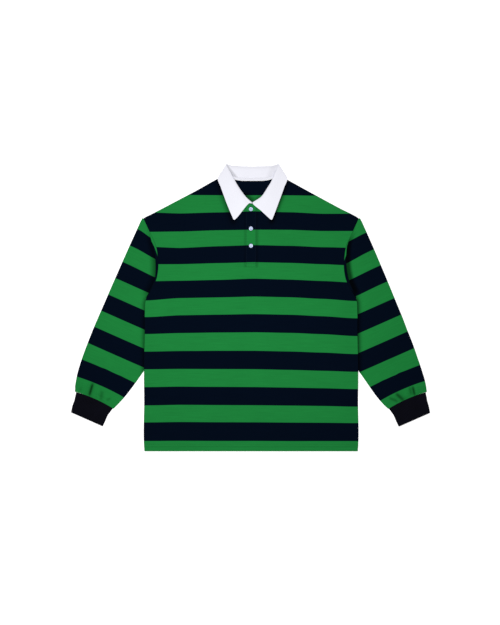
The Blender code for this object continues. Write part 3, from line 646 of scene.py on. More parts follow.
def front_low(x, y):
    """Underside of the front: on the back panel at every seam, with folds and fullness in the middle."""
    beside = body_half_width(y) - np.abs(x)
    shoulder_y = SHOULDER_TIP_Y + (SHOULDER_HALF - np.abs(x)) * SHOULDER_SLOPE
    full = smooth(beside / SIDE_EASE) * smooth((shoulder_y - y) / TOP_EASE)
    full = full * smooth((y - HEM_DEPTH) / TOP_EASE)
    full = full * smooth((neck_distance(x, y) - NECK_FLAT) / NECK_EASE)
    beside_placket = smooth((np.abs(x - PLACKET_CENTRE) - PLACKET_WIDTH / 2) / PLACKET_EASE)
    full = full * np.where(y > PLACKET_BOTTOM_Y - PLACKET_EASE, beside_placket, 1.0)
    puckers = 0.16 * np.cos(2 * pi * x / 11.0) * np.exp(-(((y - HEM_DEPTH - 3.0) / 6.0) ** 2))
    roll = SEAM_ROLL * armhole_window(y) * np.exp(-((beside / 10.0) ** 2))
    gap = SEAM_GAP + full * (BODY_PUFF + soft_folds(x, y, FRONT_FOLDS)) + np.maximum(puckers, 0.0) + roll
    return underarm_lift(x, y) + JERSEY_WALL + hem_turning(y) + gap


def front_top(x, y):
    return front_low(x, y) + JERSEY_WALL + hem_turning(y)


def front_painted_shade(x, y):
    """Shade painted onto the front, under the collar's leaves and beside the placket."""
    shade = np.zeros_like(x)
    for side, depth, width in ((-1, 0.72, 10.5), (1, 0.98, 8.0)):
        start = (NECK_CENTRE + side * COLLAR_TIP[0], COLLAR_TIP[1])
        end = (NECK_CENTRE + side * COLLAR_CORNER[0], COLLAR_CORNER[1])
        shade = np.maximum(shade, depth * beside_line(x, y, start, end, width))
    for side, depth in ((-1, 0.35), (1, 0.65)):
        edge_x = PLACKET_CENTRE + side * (PLACKET_WIDTH / 2 + 0.2)
        line = beside_line(x, y, (edge_x, PLACKET_BOTTOM_Y), (edge_x, NECK_POINT_Y - FRONT_NECK_DEPTH), 2.6)
        shade = np.maximum(shade, depth * line)
    return shade


slot = PLACKET_CENTRE + PLACKET_SLOT_HALF * np.array([-1.0, 1.0])
slot_turns = np.arccos(-(slot - NECK_CENTRE) / NECK_HALF)
turns = np.concatenate(
    [
        np.linspace(0.0, slot_turns[0], 18),
        np.linspace(*slot_turns, 8)[1:],
        np.linspace(slot_turns[1], pi, 18)[1:],
    ]
)
front_neckline = np.column_stack(
    [NECK_CENTRE - NECK_HALF * np.cos(turns), NECK_POINT_Y - FRONT_NECK_DEPTH * np.sin(turns)]
)
plan, row_heights = body_plan(front_neckline, 62)
x, y = plan[..., 0], plan[..., 1]
outside = np.dstack([plan, front_top(x, y) - rolled_edge(edge_distance(plan))])
inside = np.dstack([plan, front_low(x, y)])
middles = (plan[-1, 1:, 0] + plan[-1, :-1, 0]) / 2
in_slot = np.abs(middles - PLACKET_CENTRE) < PLACKET_SLOT_HALF
kept = ~((row_heights[:-1, None] >= SLOT_BOTTOM_ROW) & in_slot[None, :])
front = cloth_wall(
    "front_panel", outside, inside, body_grain(plan), jersey, kept=kept, painted_shade=front_painted_shade(x, y)
)
hem_front_stitches = hem_stitches("hem_stitches_front", lambda x, y: front_top(x, y) + 0.12, 0.34)
finished(
    front, "front", "jersey", flat=(0.604, 0.776), area=0.425, rests_on=[back],
    with_pieces=[hem_front_stitches],
)

# Sleeves
# Two long tubes of the striped jersey, set into the armholes with the stripes across the arm and
# gathered into the cuffs. Along each armhole a narrow strip of sleeve is pulled flat to the seam, and
# its stripes run down beside the seam as far as the crease where the fullness starts.

SLEEVE_PUFF = 2.8
FOLD_NOSE = 2.2
FOLD_POINTS = 5
FLAT_LAYERS = 2 * JERSEY_WALL + SEAM_GAP
CUFF_BOW = 4.5
STRIP_DROP = 2.2
CAP_RISE = 1.6
TIP_DRAWN_IN = 0.9
STRIP_SLANT = 1.2
GATHER_PULL = 0.7
RIGHT_STRIPE_EDGES = (31.4, 82.5, 132.4, 182.3, 232.3, 281.9, 330.7, 379.8, 427.8, 476.3)
LEFT_STRIPE_EDGES = (42.1, 94.0, 142.2, 191.6, 242.1, 292.3, 342.5, 393.0, 441.2, 487.0)

# How far the edges of each sleeve and cuff as they lie are from the sections' own, towards the body
Drift = namedtuple("Drift", "along right_outer right_inner left_outer left_inner")
SLEEVE_DRIFT = (
    Drift(30.0, 0.0, 0.0, -0.3, 0.0),
    Drift(83.0, -0.7, 0.0, -0.6, 0.0),
    Drift(126.0, -0.8, 0.0, 0.0, 0.0),
    Drift(169.0, -0.8, 0.0, 0.6, 0.0),
    Drift(203.0, -0.8, 0.0, 1.4, 0.0),
    Drift(296.0, -0.5, 0.6, 3.3, 0.6),
    Drift(338.0, -0.6, 1.2, 5.0, 0.9),
    Drift(380.0, -0.4, 2.4, 5.0, 1.7),
    Drift(422.0, -0.3, 3.3, 6.2, 2.6),
    Drift(463.0, -0.9, 3.7, 4.7, 4.5),
    Drift(483.0, -0.9, 3.4, 2.9, 5.0),
    Drift(503.0, -1.5, 2.7, 1.3, 4.7),
    Drift(517.0, 0.2, 1.9, 1.3, 3.4),
    Drift(540.0, 2.0, -0.4, 3.9, 1.8),
    Drift(560.0, -0.4, 0.7, 2.8, 2.9),
    Drift(578.0, 0.2, 0.8, 3.4, 2.8),
)


def drifted(side, along, outer, inner):
    """A sleeve's or cuff's edges as they lie."""
    worn = "right" if side < 0 else "left"
    stations = column(SLEEVE_DRIFT, "along")
    return (
        outer + np.interp(along, stations, column(SLEEVE_DRIFT, worn + "_outer")),
        inner + np.interp(along, stations, column(SLEEVE_DRIFT, worn + "_inner")),
    )


Strip = namedtuple("Strip", "height right left")
ARMHOLE_STRIP = (
    Strip(431.0, 1.5, 2.0),
    Strip(446.0, 1.8, 4.0),
    Strip(465.0, 3.0, 6.0),
    Strip(484.0, 4.4, 7.6),
    Strip(496.0, 5.8, 7.8),
    Strip(512.0, 7.6, 7.6),
    Strip(527.0, 8.4, 6.8),
    Strip(546.0, 8.8, 5.4),
    Strip(558.0, 10.4, 4.9),
    Strip(571.0, 11.8, 3.6),
    Strip(581.0, 11.4, 2.6),
    Strip(592.0, 9.0, 1.6),
    Strip(608.0, 3.6, 1.4),
    Strip(654.0, 1.0, 1.0),
)

# How far the stripes of a sleeve hang down beside the armhole
CapDroop = namedtuple("CapDroop", "along right left")
CAP_DROOP = (
    CapDroop(0.0, 7.0, 1.6),
    CapDroop(42.0, 8.2, 2.6),
    CapDroop(92.0, 6.0, 5.8),
    CapDroop(140.0, 2.8, 3.0),
    CapDroop(190.0, 0.0, 2.4),
    CapDroop(240.0, 0.0, 0.0),
)

# Creases by their two ends, down the sleeve and across it from the outer edge
Crease = namedtuple("Crease", "along_from across_from along_to across_to width height")
RIGHT_CREASES = (
    Crease(476.0, 59.0, 518.0, 64.5, 2.6, -3.0),
    Crease(482.0, 66.5, 518.0, 71.0, 4.0, 1.5),
    Crease(482.0, 51.0, 518.0, 57.0, 5.0, 1.6),
    Crease(484.0, 86.0, 514.0, 95.0, 3.4, -2.0),
    Crease(486.0, 80.0, 514.0, 88.0, 4.0, 1.1),
    Crease(510.0, 112.0, 494.0, 124.0, 3.0, -1.6),
    Crease(496.0, 34.0, 518.0, 36.0, 4.0, -1.2),
    Crease(380.0, 60.0, 470.0, 96.0, 12.0, 1.4),
    Crease(300.0, 70.0, 400.0, 100.0, 16.0, 1.0),
    Crease(100.0, 40.0, 190.0, 66.0, 14.0, 0.9),
    Crease(20.0, 8.0, 50.0, 22.0, 3.0, 0.7),
    Crease(60.0, 14.0, 120.0, 22.0, 9.0, 0.6),
    Crease(400.0, 128.0, 480.0, 118.0, 8.0, 0.9),
    Crease(420.0, 60.0, 480.0, 84.0, 7.0, -1.2),
    Crease(230.0, 40.0, 330.0, 30.0, 16.0, 0.9),
)
LEFT_CREASES = (
    Crease(488.0, 107.0, 518.0, 92.0, 3.4, -3.0),
    Crease(490.0, 100.0, 516.0, 86.0, 4.0, 1.4),
    Crease(490.0, 131.0, 514.0, 106.0, 2.6, -2.0),
    Crease(488.0, 54.0, 518.0, 59.5, 2.4, -2.8),
    Crease(486.0, 63.0, 514.0, 68.0, 2.6, -1.7),
    Crease(486.0, 58.5, 516.0, 64.0, 3.0, 1.3),
    Crease(488.0, 76.0, 516.0, 79.0, 6.0, 1.5),
    Crease(486.0, 44.0, 518.0, 50.0, 6.0, 1.3),
    Crease(376.0, 98.0, 468.0, 66.0, 12.0, 1.4),
    Crease(300.0, 110.0, 400.0, 60.0, 16.0, 1.0),
    Crease(90.0, 36.0, 190.0, 70.0, 14.0, 0.9),
    Crease(60.0, 12.0, 130.0, 24.0, 9.0, 0.6),
    Crease(410.0, 130.0, 486.0, 122.0, 8.0, 0.9),
    Crease(426.0, 92.0, 480.0, 70.0, 7.0, -1.2),
    Crease(220.0, 36.0, 330.0, 36.0, 16.0, 0.9),
)

# Shade painted into the cloth where it is folded over in a gather and hardly any light gets in; each height
# is how much
RIGHT_GATHER_SHADES = (
    Crease(474.0, 59.5, 522.0, 65.5, 2.8, 0.62),
    Crease(470.0, 58.5, 524.0, 66.5, 7.0, 0.38),
    Crease(484.0, 92.0, 518.0, 101.0, 6.0, 0.36),
    Crease(509.0, 113.0, 495.0, 124.0, 3.0, 0.3),
    Crease(498.0, 34.0, 520.0, 36.0, 4.0, 0.2),
)
LEFT_GATHER_SHADES = (
    Crease(488.0, 107.0, 522.0, 91.5, 3.4, 0.45),
    Crease(484.0, 109.0, 524.0, 90.5, 7.5, 0.34),
    Crease(490.0, 131.0, 516.0, 107.0, 3.6, 0.5),
    Crease(487.0, 54.0, 522.0, 60.0, 2.6, 0.62),
    Crease(486.0, 58.0, 518.0, 65.0, 7.0, 0.34),
    Crease(487.0, 63.5, 512.0, 68.5, 2.2, 0.22),
)


def creased(along, across, creases):
    """Sum of soft creases, each bell-shaped across its line and fading over its last third."""
    total = np.zeros_like(across)
    for c in creases:
        step = np.array([c.along_to - c.along_from, c.across_to - c.across_from])
        length = np.hypot(*step)
        down = ((along - c.along_from) * step[0] + (across - c.across_from) * step[1]) / length
        aside = ((across - c.across_from) * step[0] - (along - c.along_from) * step[1]) / length
        ends = smooth(down / (0.3 * length)) * smooth((length - down) / (0.3 * length))
        total += c.height * ends * np.exp(-((aside / c.width) ** 2))
    return total


def bowed(along, share):
    """Rows near the cuff seam bend: their middle is drawn up the arm and their ends hang a little."""
    near = smooth((along - 380.0) / 110.0) * (1 - smooth((along - 525.0) / 50.0))
    return along + CUFF_BOW * near * ((2 * share - 1) ** 2 - 0.4)


def flat_tube(side, along, outer, inner, across, top_z, bottom_z, wall, noses):
    """Outside and inside points of a flattened tube's rings, one row for each place along it.

    Each ring runs over the top layer from the outer edge to the inner one, round that fold in half an
    ellipse, back under the bottom layer and round the outer fold. across holds the top and the bottom
    columns, and noses how far the inner and the outer fold of each ring stand out."""
    arc = np.linspace(0.0, pi, FOLD_POINTS + 2)[1:-1]
    top_across, bottom_across = across

    def placed(where, height):
        share = (where - outer[:, None]) / (inner - outer)[:, None]
        rows = bowed(np.broadcast_to(along[:, None], where.shape), share)
        return np.dstack([to_plan(side, rows, where), np.broadcast_to(height, where.shape)])

    def fold(edge, out, reach, high, low, sign):
        middle, half = (high + low) / 2, (high - low) / 2
        where = edge[:, None] - sign * out[:, None] + sign * reach[:, None] * np.sin(arc)
        return placed(where, middle[:, None] + half[:, None] * np.cos(arc) * (1 if sign > 0 else -1))

    nose, full = noses
    thin_inner, thin_outer = np.maximum(nose - wall, 0.0), np.maximum(full - wall, 0.0)
    outside = np.concatenate(
        [
            placed(top_across, top_z),
            fold(inner, nose, nose, top_z[:, -1], bottom_z[:, 0], 1),
            placed(bottom_across, bottom_z),
            fold(outer, full, full, top_z[:, 0], bottom_z[:, -1], -1),
        ],
        axis=1,
    )
    inside = np.concatenate(
        [
            placed(top_across, top_z - wall),
            fold(inner, nose, thin_inner, top_z[:, -1] - wall, bottom_z[:, 0] + wall, 1),
            placed(bottom_across, bottom_z + wall),
            fold(outer, full, thin_outer, top_z[:, 0] - wall, bottom_z[:, -1] + wall, -1),
        ],
        axis=1,
    )
    return outside, inside


def ring_across(top_across, bottom_across, outer, inner):
    """Across value of every column of a flat tube, the folds taking the value of their edge."""
    folds = np.ones(FOLD_POINTS)
    return np.concatenate(
        [top_across, inner[:, None] * folds, bottom_across, outer[:, None] * folds], axis=1
    )


def sleeve(name, side, creases, gather_shades, stripe_edges, shade):
    """Sleeve: a flattened tube, open along the armhole seam and at the cuff.

    shade is how fast the stripes of the strip follow each other, and how much shade is painted into the
    cloth's colour in the crease along the armhole and under the body's side."""
    armpit_along = float(to_sleeve(body_half_width(ARMPIT_Y), ARMPIT_Y)[0])
    along = np.concatenate([np.linspace(-2.0, armpit_along, 60), np.linspace(SLEEVE_START, SLEEVE_END, 112)])
    outer, inner = drifted(side, along, *sleeve_edges(along))
    seam_y = np.linspace(SHOULDER_TIP_Y, ARMPIT_Y, 80)
    beside_y = np.interp(along, to_sleeve(body_half_width(seam_y), seam_y)[0], seam_y)
    worn = "right" if side < 0 else "left"
    width = np.interp(beside_y, column(ARMHOLE_STRIP, "height"), column(ARMHOLE_STRIP, worn))
    width = np.minimum(width, 0.25 * (inner - outer))
    nose = FOLD_NOSE * smooth((along - armpit_along) / 12.0)
    outer_nose = np.minimum(FOLD_NOSE, 0.3 * (inner - outer))
    outer = outer + TIP_DRAWN_IN * (1 - smooth((along + 2.0) / 14.0))
    crease = inner - nose - width
    share = np.concatenate([np.linspace(0.0, 0.9, 60), np.linspace(0.91, 1.0, 13)])
    start = outer + outer_nose
    main = start[:, None] + (crease - start)[:, None] * share
    strip_share = np.array([0.25, 0.5, 0.75, 0.9, 1.0])
    top_across = np.concatenate([main, crease[:, None] + width[:, None] * strip_share], axis=1)
    bottom_share = np.linspace(1.0, 0.0, 26)
    bottom_across = start[:, None] + (inner - nose - start)[:, None] * bottom_share

    rows = np.broadcast_to(along[:, None], top_across.shape)
    spot = to_plan(1, rows, top_across)
    clear = smooth((spot[..., 0] - body_half_width(spot[..., 1]) - 1.0) / 30.0)
    over = (top_across - outer[:, None]) / (inner - outer)[:, None]
    fullness = smooth(along / 60.0) * smooth((530.0 - along) / 34.0)
    bulge = np.sin(pi * np.clip(over, 0, 1)) ** 0.7 * fullness[:, None] * SLEEVE_PUFF
    puff = np.maximum(bulge + creased(rows, top_across, creases), 0.0) * clear
    window = (armhole_window(beside_y) * (along < armpit_along + 1))[:, None]
    from_crease = crease[:, None] - top_across
    pulled = SEAM_ROLL * smooth(1.0 - from_crease / STRIP_DROP)
    far = np.maximum(from_crease - STRIP_DROP, 0.0)
    head = CAP_RISE * smooth(far / 22.0) * np.exp(-far / 60.0)
    top_z = FLAT_LAYERS + puff + window * (pulled + head * smooth((top_across - start[:, None]) / 20.0))
    at_seam = np.where(along < armpit_along + 1, 1.0, 0.0)[:, None]
    top_z = top_z - at_seam * rolled_edge(inner[:, None] - nose[:, None] - top_across)
    bottom_z = np.zeros_like(bottom_across)
    layers = (top_across, bottom_across)
    noses = (nose, outer_nose)
    outside, inside = flat_tube(side, along, outer, inner, layers, top_z, bottom_z, JERSEY_WALL, noses)

    where = ring_across(top_across, bottom_across, outer, inner)
    ring_along = np.broadcast_to(along[:, None], where.shape)
    droop = np.interp(ring_along, column(CAP_DROOP, "along"), column(CAP_DROOP, worn))
    hung = ring_along - droop * smooth((where - outer[:, None]) / (inner - outer)[:, None]) ** 1.5
    hung = hung + GATHER_PULL * creased(ring_along, where, creases) * smooth((ring_along - 380.0) / 40.0)
    grain = np.stack([where, stripe_number(hung, stripe_edges) * STRIPE], axis=-1) * MM
    beside_seam = shade.pace * ring_along + STRIP_SLANT * (inner[:, None] - where)
    beside_seam = np.minimum(beside_seam, stripe_edges[1] - 6.0)
    strip_grain = np.stack([where, stripe_number(beside_seam, stripe_edges) * STRIPE], axis=-1) * MM
    kept = np.ones((len(along) - 1, where.shape[1]), bool)
    armhole_rows = along[:-1] < armpit_along + SEAM_GAP
    tops = top_across.shape[1]
    kept[np.ix_(armhole_rows, np.arange(tops - 1, tops + FOLD_POINTS))] = False
    in_strip = np.zeros_like(kept)
    in_strip[np.ix_(armhole_rows, np.arange(len(share) - 1, tops - 1))] = True

    # Shade painted into the colour of the sleeve's top: in the crease along the armhole, beside the body's
    # side and in the gathers
    beyond = np.maximum(from_crease - 0.5, 0.0)
    in_armhole = smooth((beside_y - 424.0) / 24.0) * smooth((618.0 - beside_y) / 46.0)
    near_crease = 1 - smooth((beyond - shade.flat) / shade.width)
    folded = shade.depth * in_armhole[:, None] * (along < armpit_along + 1)[:, None] * near_crease
    folded = folded * np.where(from_crease < -0.2, 0.1, 1.0)
    beside_body = np.maximum(np.abs(spot[..., 0]) - body_half_width(spot[..., 1]), 0.0)
    below_armpit = smooth((ARMPIT_Y + 27.0 - spot[..., 1]) / 14.0)
    painted_shade_under_body = below_armpit * shade.side_depth * np.exp(-((beside_body / shade.side_width) ** 2))
    deep = np.maximum(np.maximum(folded, painted_shade_under_body), creased(rows, top_across, gather_shades))
    painted_shade = np.zeros(where.shape)
    painted_shade[:, :tops] = deep
    return cloth_wall(
        name, outside, inside, grain, jersey, closed=True, kept=kept, turned=side < 0,
        strip=(in_strip, strip_grain), painted_shade=np.clip(painted_shade, 0.0, 1.0),
    )


# The pace of the strip's stripes, then the shade painted into the sleeve's colour: how dark, how far flat
# and how wide in the armhole crease, and how dark and how wide beside the body
Shade = namedtuple("Shade", "pace depth flat width side_depth side_width")
sleeve_right = sleeve(
    "sleeve_right_tube", -1, RIGHT_CREASES, RIGHT_GATHER_SHADES, RIGHT_STRIPE_EDGES,
    Shade(0.4, 0.70, 0.0, 22.0, 0.66, 8.0),
)
sleeve_left = sleeve(
    "sleeve_left_tube", 1, LEFT_CREASES, LEFT_GATHER_SHADES, LEFT_STRIPE_EDGES,
    Shade(0.47, 0.96, 6.0, 13.0, 0.86, 8.5),
)

for piece, node in ((sleeve_right, "sleeve_right"), (sleeve_left, "sleeve_left")):
    finished(piece, node, "jersey", flat=(0.380, 0.520), area=0.150, rests_on=["floor"])

# Cuffs
# Rib-knit cotton with a little elastane, near-black navy, folded double and stretched onto the gathered
# sleeve ends. The ribs run along the arm.

RIB_WALL = 1.8
RIB_RISE = 0.4
RIBS_PER_FACE = 26
CUFF_END = 577.2
END_ROUND = 0.6
CuffSection = namedtuple("CuffSection", "along outer inner")
CUFF_SECTIONS = (
    CuffSection(SLEEVE_END + CUFF_GAP, 27.2, 138.0),
    CuffSection(535.0, 29.2, 135.4),
    CuffSection(CUFF_END, 36.7, 133.4),
)
RIB_NAVY = "#080811"


def rib_material():
    """Rib knit: matt and dark, with shade painted into its valleys and light onto its ribs, and the courses
    of its loops across each rib.
    """
    made, tree, shader = new_material("navy_cotton_rib", 0.92, 0.05)
    cloth = add(tree, "SeparateXYZ", {0: add(tree, "UVMap", uv_map="cloth").outputs[0]}).outputs
    turn = add(tree, "Math", {0: cloth[0], 1: 2 * pi * RIBS_PER_FACE}, operation="MULTIPLY").outputs[0]
    rib = add(tree, "Math", {0: turn}, operation="COSINE").outputs[0]
    course = add(tree, "Math", {0: cloth[1], 1: 2 * pi / (COURSE * MM)}, operation="MULTIPLY").outputs[0]
    loops = add(tree, "Math", {0: course}, operation="SINE").outputs[0]
    place = add(tree, "TexCoord").outputs["Object"]
    yarn = add(tree, "TexNoise", {"Vector": place, "Scale": 700.0, "Detail": 2.0}).outputs[0]
    worn = add(tree, "TexNoise", {"Vector": place, "Scale": 40.0, "Detail": 2.0}).outputs[0]
    # Painted shade and highlight: darker in the valleys between the ribs, lighter on their crowns
    painted_rib_shade = add(tree, "MapRange", {0: rib, 1: -1.0, 2: 1.0, 3: 1.25, 4: 0.6}).outputs[0]
    uneven = add(tree, "MapRange", {0: worn, 1: 0.3, 2: 0.7, 3: 0.85, 4: 1.15}).outputs[0]
    shade = add(tree, "Math", {0: painted_rib_shade, 1: uneven}, operation="MULTIPLY").outputs[0]
    colour = add(tree, "VectorMath", {0: linear(RIB_NAVY)[:3], "Scale": shade}, operation="SCALE").outputs[0]
    tree.links.new(colour, shader.inputs["Base Color"])
    rough = add(tree, "MapRange", {0: yarn, 3: 0.86, 4: 0.98}).outputs[0]
    tree.links.new(rough, shader.inputs["Roughness"])
    height = add(tree, "Math", {0: loops, 1: 0.3, 2: yarn}, operation="MULTIPLY_ADD").outputs[0]
    bump = add(tree, "Bump", {"Strength": 0.4, "Distance": 0.3 * MM, "Height": height})
    tree.links.new(bump.outputs[0], shader.inputs["Normal"])
    shader.inputs["Sheen Weight"].default_value = 0.06
    shader.inputs["Sheen Roughness"].default_value = 0.5
    shader.inputs["Sheen Tint"].default_value = linear("#9AA0B4")
    return made


def cuff(name, side, material):
    """Cuff: a flattened tube whose two layers are ribbed, open at both ends."""
    stations = column(CUFF_SECTIONS, "along")
    ends = ([stations[0], stations[0] + 1.15], [CUFF_END - 0.8, CUFF_END])
    along = np.concatenate([ends[0], np.linspace(519.5, CUFF_END - 2.0, 26), ends[1]])
    outer = through(along, stations, column(CUFF_SECTIONS, "outer"))
    inner = through(along, stations, column(CUFF_SECTIONS, "inner"))
    outer, inner = drifted(side, along, outer, inner)
    share = np.linspace(0.0, 1.0, 8 * RIBS_PER_FACE + 1)
    start = outer + FOLD_NOSE
    top_across = start[:, None] + (inner - FOLD_NOSE - start)[:, None] * share
    bottom_across = top_across[:, ::-1]
    rib = RIB_RISE * (0.5 - 0.5 * np.cos(2 * pi * RIBS_PER_FACE * share)) ** 0.7
    past_end = np.maximum(0.0, 1.2 - (along - along[0])) + np.maximum(0.0, along - CUFF_END + 1.4)
    ends = END_ROUND * past_end
    top_z = 2 * RIB_WALL + SEAM_GAP + rib - ends[:, None]
    bottom_z = np.broadcast_to(rib, top_z.shape) + ends[:, None] * END_ROUND
    nose = np.full(len(along), FOLD_NOSE)
    layers = (top_across, bottom_across)
    noses = (nose, nose)
    outside, inside = flat_tube(side, along, outer, inner, layers, top_z, bottom_z, RIB_WALL, noses)
    where = ring_across(top_across, bottom_across, outer + FOLD_NOSE, inner - FOLD_NOSE)
    tops = len(share)
    inside[:, :tops, 2] = RIB_WALL + SEAM_GAP
    inside[:, tops + FOLD_POINTS : 2 * tops + FOLD_POINTS, 2] = RIB_WALL
    over = (where - start[:, None]) / (inner - FOLD_NOSE - start)[:, None]
    down = np.broadcast_to((along * MM)[:, None], over.shape)
    return cloth_wall(
        name, outside, inside, np.stack([over, down], axis=-1), material, closed=True, turned=side < 0
    )


rib = rib_material()
cuff_right = cuff("cuff_right_rib", -1, rib)
cuff_left = cuff("cuff_left_rib", 1, rib)
for piece, node in ((cuff_right, "cuff_right"), (cuff_left, "cuff_left")):
    finished(piece, node, "rib", flat=(0.210, 0.059), rests_on=["floor"])

# Placket
# Half placket of the striped jersey, its stripes matched to the front: an underlap in the slot, and an
# overlap on it with fused interfacing, edge-stitched and closed by a stitched box at the bottom.

UNDERLAP_INSET = 1.0
EDGE_STITCH = 2.4
BOX_HEIGHT = 8.7
PLACKET_PITCH = 2.8
THREAD_SUNK = 0.18
BUTTON_HEIGHTS = (680.0, 625.5, 577.3)
BUTTONHOLE_HALF = 7.4
BUTTONHOLE_PITCH = 0.62
THREAD_NAVY = "#0A1428"


def placket_plan(half_width, bottom, columns, rows):
    """Plan points of a strip down the centre front, cut off just under the neckline."""
    x = PLACKET_CENTRE + half_width * columns
    top = NECK_POINT_Y - FRONT_NECK_DEPTH * np.sqrt(1 - ((x - NECK_CENTRE) / NECK_HALF) ** 2) - SEAM_GAP
    return np.stack([np.broadcast_to(x, (len(rows), len(x))), bottom + (top - bottom) * rows[:, None]], -1)


def stitch_groove(distance):
    """How far the cloth is pressed in beside a row of stitches, by the distance from it."""
    return 0.3 * np.exp(-((distance / 0.7) ** 2))


middle_top = NECK_POINT_Y - FRONT_NECK_DEPTH - SHOULDER_TIP_Y
slot_bottom = SLOT_BOTTOM_ROW + middle_top * (SLOT_BOTTOM_ROW / SHOULDER_TIP_Y) ** 3
columns, rows = np.linspace(-1, 1, 9), np.linspace(0, 1, 60)
plan = placket_plan(PLACKET_SLOT_HALF - UNDERLAP_INSET, slot_bottom + UNDERLAP_INSET, columns, rows)
x, y = plan[..., 0], plan[..., 1]
placket_under = cloth_wall(
    "placket_underlap", np.dstack([plan, front_top(x, y)]), np.dstack([plan, front_low(x, y)]),
    body_grain(plan), jersey,
)

edge_columns = np.array([0.0, 0.03, 0.09, 0.13, 0.17])
columns = np.concatenate([edge_columns - 1, np.linspace(-0.76, 0.76, 17), (1 - edge_columns)[::-1]])
edge_rows = np.array([0.0, 0.003, 0.008])
rows = np.concatenate(
    [edge_rows, np.linspace(0.015, 0.06, 9), np.linspace(0.07, 0.985, 80), (1 - edge_rows)[::-1]]
)
plan = placket_plan(PLACKET_WIDTH / 2, PLACKET_BOTTOM_Y, columns, rows)
x, y = plan[..., 0], plan[..., 1]
from_side = PLACKET_WIDTH / 2 - np.abs(x - PLACKET_CENTRE)
from_edge = np.minimum(from_side, y - PLACKET_BOTTOM_Y)
top = front_top(x, y) + SEAM_GAP + JERSEY_WALL
pressed = stitch_groove(from_side - EDGE_STITCH) + stitch_groove(y - PLACKET_BOTTOM_Y - BOX_HEIGHT)
ripple = 0.25 * np.sin(2 * pi * y / 46.0) * smooth((from_side - 3.0) / 6.0)
top = top - rolled_edge(from_edge) - pressed + ripple
placket_top = cloth_wall(
    "placket_overlap", np.dstack([plan, top]), np.dstack([plan, front_top(x, y) + SEAM_GAP]),
    body_grain(plan), jersey,
)
navy_thread = thread_material("navy_sewing_thread", THREAD_NAVY)
half = PLACKET_WIDTH / 2 - EDGE_STITCH
upright_y = np.linspace(PLACKET_BOTTOM_Y + 1.6, NECK_POINT_Y - FRONT_NECK_DEPTH - 3.0, 200)
level_x = PLACKET_CENTRE + np.linspace(-half, half, 40)
lines = [(np.full_like(upright_y, PLACKET_CENTRE + side * half), upright_y) for side in (-1, 1)]
lines += [(level_x, np.full_like(level_x, PLACKET_BOTTOM_Y + row)) for row in (1.8, BOX_HEIGHT)]
starts, ends = [], []
for x, y in lines:
    z = front_top(x, y) + SEAM_GAP + JERSEY_WALL - THREAD_SUNK
    begin, end = along_path(np.column_stack([x, y, z]), PLACKET_PITCH, STITCH_SHARE)
    starts.append(begin)
    ends.append(end)
made = stitches("placket_stitches", np.concatenate(starts), np.concatenate(ends), UP, 0.3, navy_thread)
placket_stitches = sewn(made)

# Where each button sits on the overlap, and the two sides of the buttonhole round it
button_seats = []
starts, ends = [], []
for height in BUTTON_HEIGHTS:
    seat = float(front_top(np.array([PLACKET_CENTRE]), np.array([height]))[0]) + 2 * SEAM_GAP + JERSEY_WALL
    button_seats.append((PLACKET_CENTRE, height, seat))
    y = height + np.arange(-BUTTONHOLE_HALF, BUTTONHOLE_HALF + 0.1, BUTTONHOLE_PITCH)
    z = np.full_like(y, seat - SEAM_GAP + 0.05)
    for side in (-1, 1):
        starts.append(np.column_stack([np.full_like(y, PLACKET_CENTRE + side * 0.25), y, z]))
        ends.append(np.column_stack([np.full_like(y, PLACKET_CENTRE + side * 1.7), y, z]))
made = stitches("buttonholes", np.concatenate(starts), np.concatenate(ends), UP, 0.34, navy_thread)
buttonholes = sewn(made)
finished(placket_under, "placket_under", "jersey", flat=(0.021, 0.165), rests_on=[back])
finished(
    placket_top, "placket_top", "jersey", flat=(0.030, 0.176), rests_on=[front, placket_under],
    with_pieces=[placket_stitches, buttonholes],
)

# Collar
# One-piece white cotton twill collar with a woven interlining, turned right side out, pressed and
# stitched 5 mm inside its edges. It is folded on its roll line, and its ends meet over the placket.

TWILL_WALL = 1.8
COLLAR_MIDDLE = 4.0
ROLL_OPENING = 1.9
GUIDE_SHARES = (0.0, 0.2, 0.34, 0.42, 0.5, 0.75, 1.0)
ROLL_SHARE = 0.42
STAND_BEND = 0.16
LEAF_BEND = 0.07
OVER_PLACKET = 9.0
OVER_EASE = 8.0
CollarRow = namedtuple(
    "CollarRow",
    "at seam_x seam_y seam_z roll_x roll_y roll_z edge_x edge_y edge_z over sway",
)
COLLAR_ROWS = (
    CollarRow(0.00, 1.0, 695.8, 2.8, 0.6, 697.8, 5.0, 53.9, 648.0, 4.6, -1.0, -0.9),
    CollarRow(0.20, 26.0, 701.0, 2.8, 22.2, 714.6, 5.2, 63.3, 671.5, 4.6, -1.0, 2.6),
    CollarRow(0.40, 47.2, 715.4, 2.8, 39.0, 738.0, 5.8, 72.1, 695.0, 4.6, -1.0, 2.2),
    CollarRow(0.60, 62.2, 735.6, 2.8, 51.2, 758.0, 6.8, 80.6, 718.0, 4.6, -0.9, 2.2),
    CollarRow(0.80, 69.4, 757.8, 2.6, 62.3, 781.0, 7.6, 88.8, 741.0, 4.6, -0.6, 1.0),
    CollarRow(1.00, 71.0, 778.6, 1.8, 74.0, 803.6, 7.4, 97.4, 766.6, 3.6, 0.0, 0.0),
    CollarRow(1.25, 56.0, 767.2, 0.9, 58.0, 801.2, 5.6, 72.0, 784.0, 0.9, 0.8, 0.0),
    CollarRow(1.50, 38.0, 762.0, 0.9, 38.0, 799.6, 4.8, 44.0, 771.5, 0.9, 0.8, 0.0),
    CollarRow(1.75, 19.0, 760.7, 0.9, 19.0, 799.0, 4.6, 21.0, 769.2, 0.9, 0.8, 0.0),
    CollarRow(2.00, 0.0, 760.5, 0.9, 0.0, 798.8, 4.6, 0.0, 769.0, 0.9, 0.8, 0.0),
)
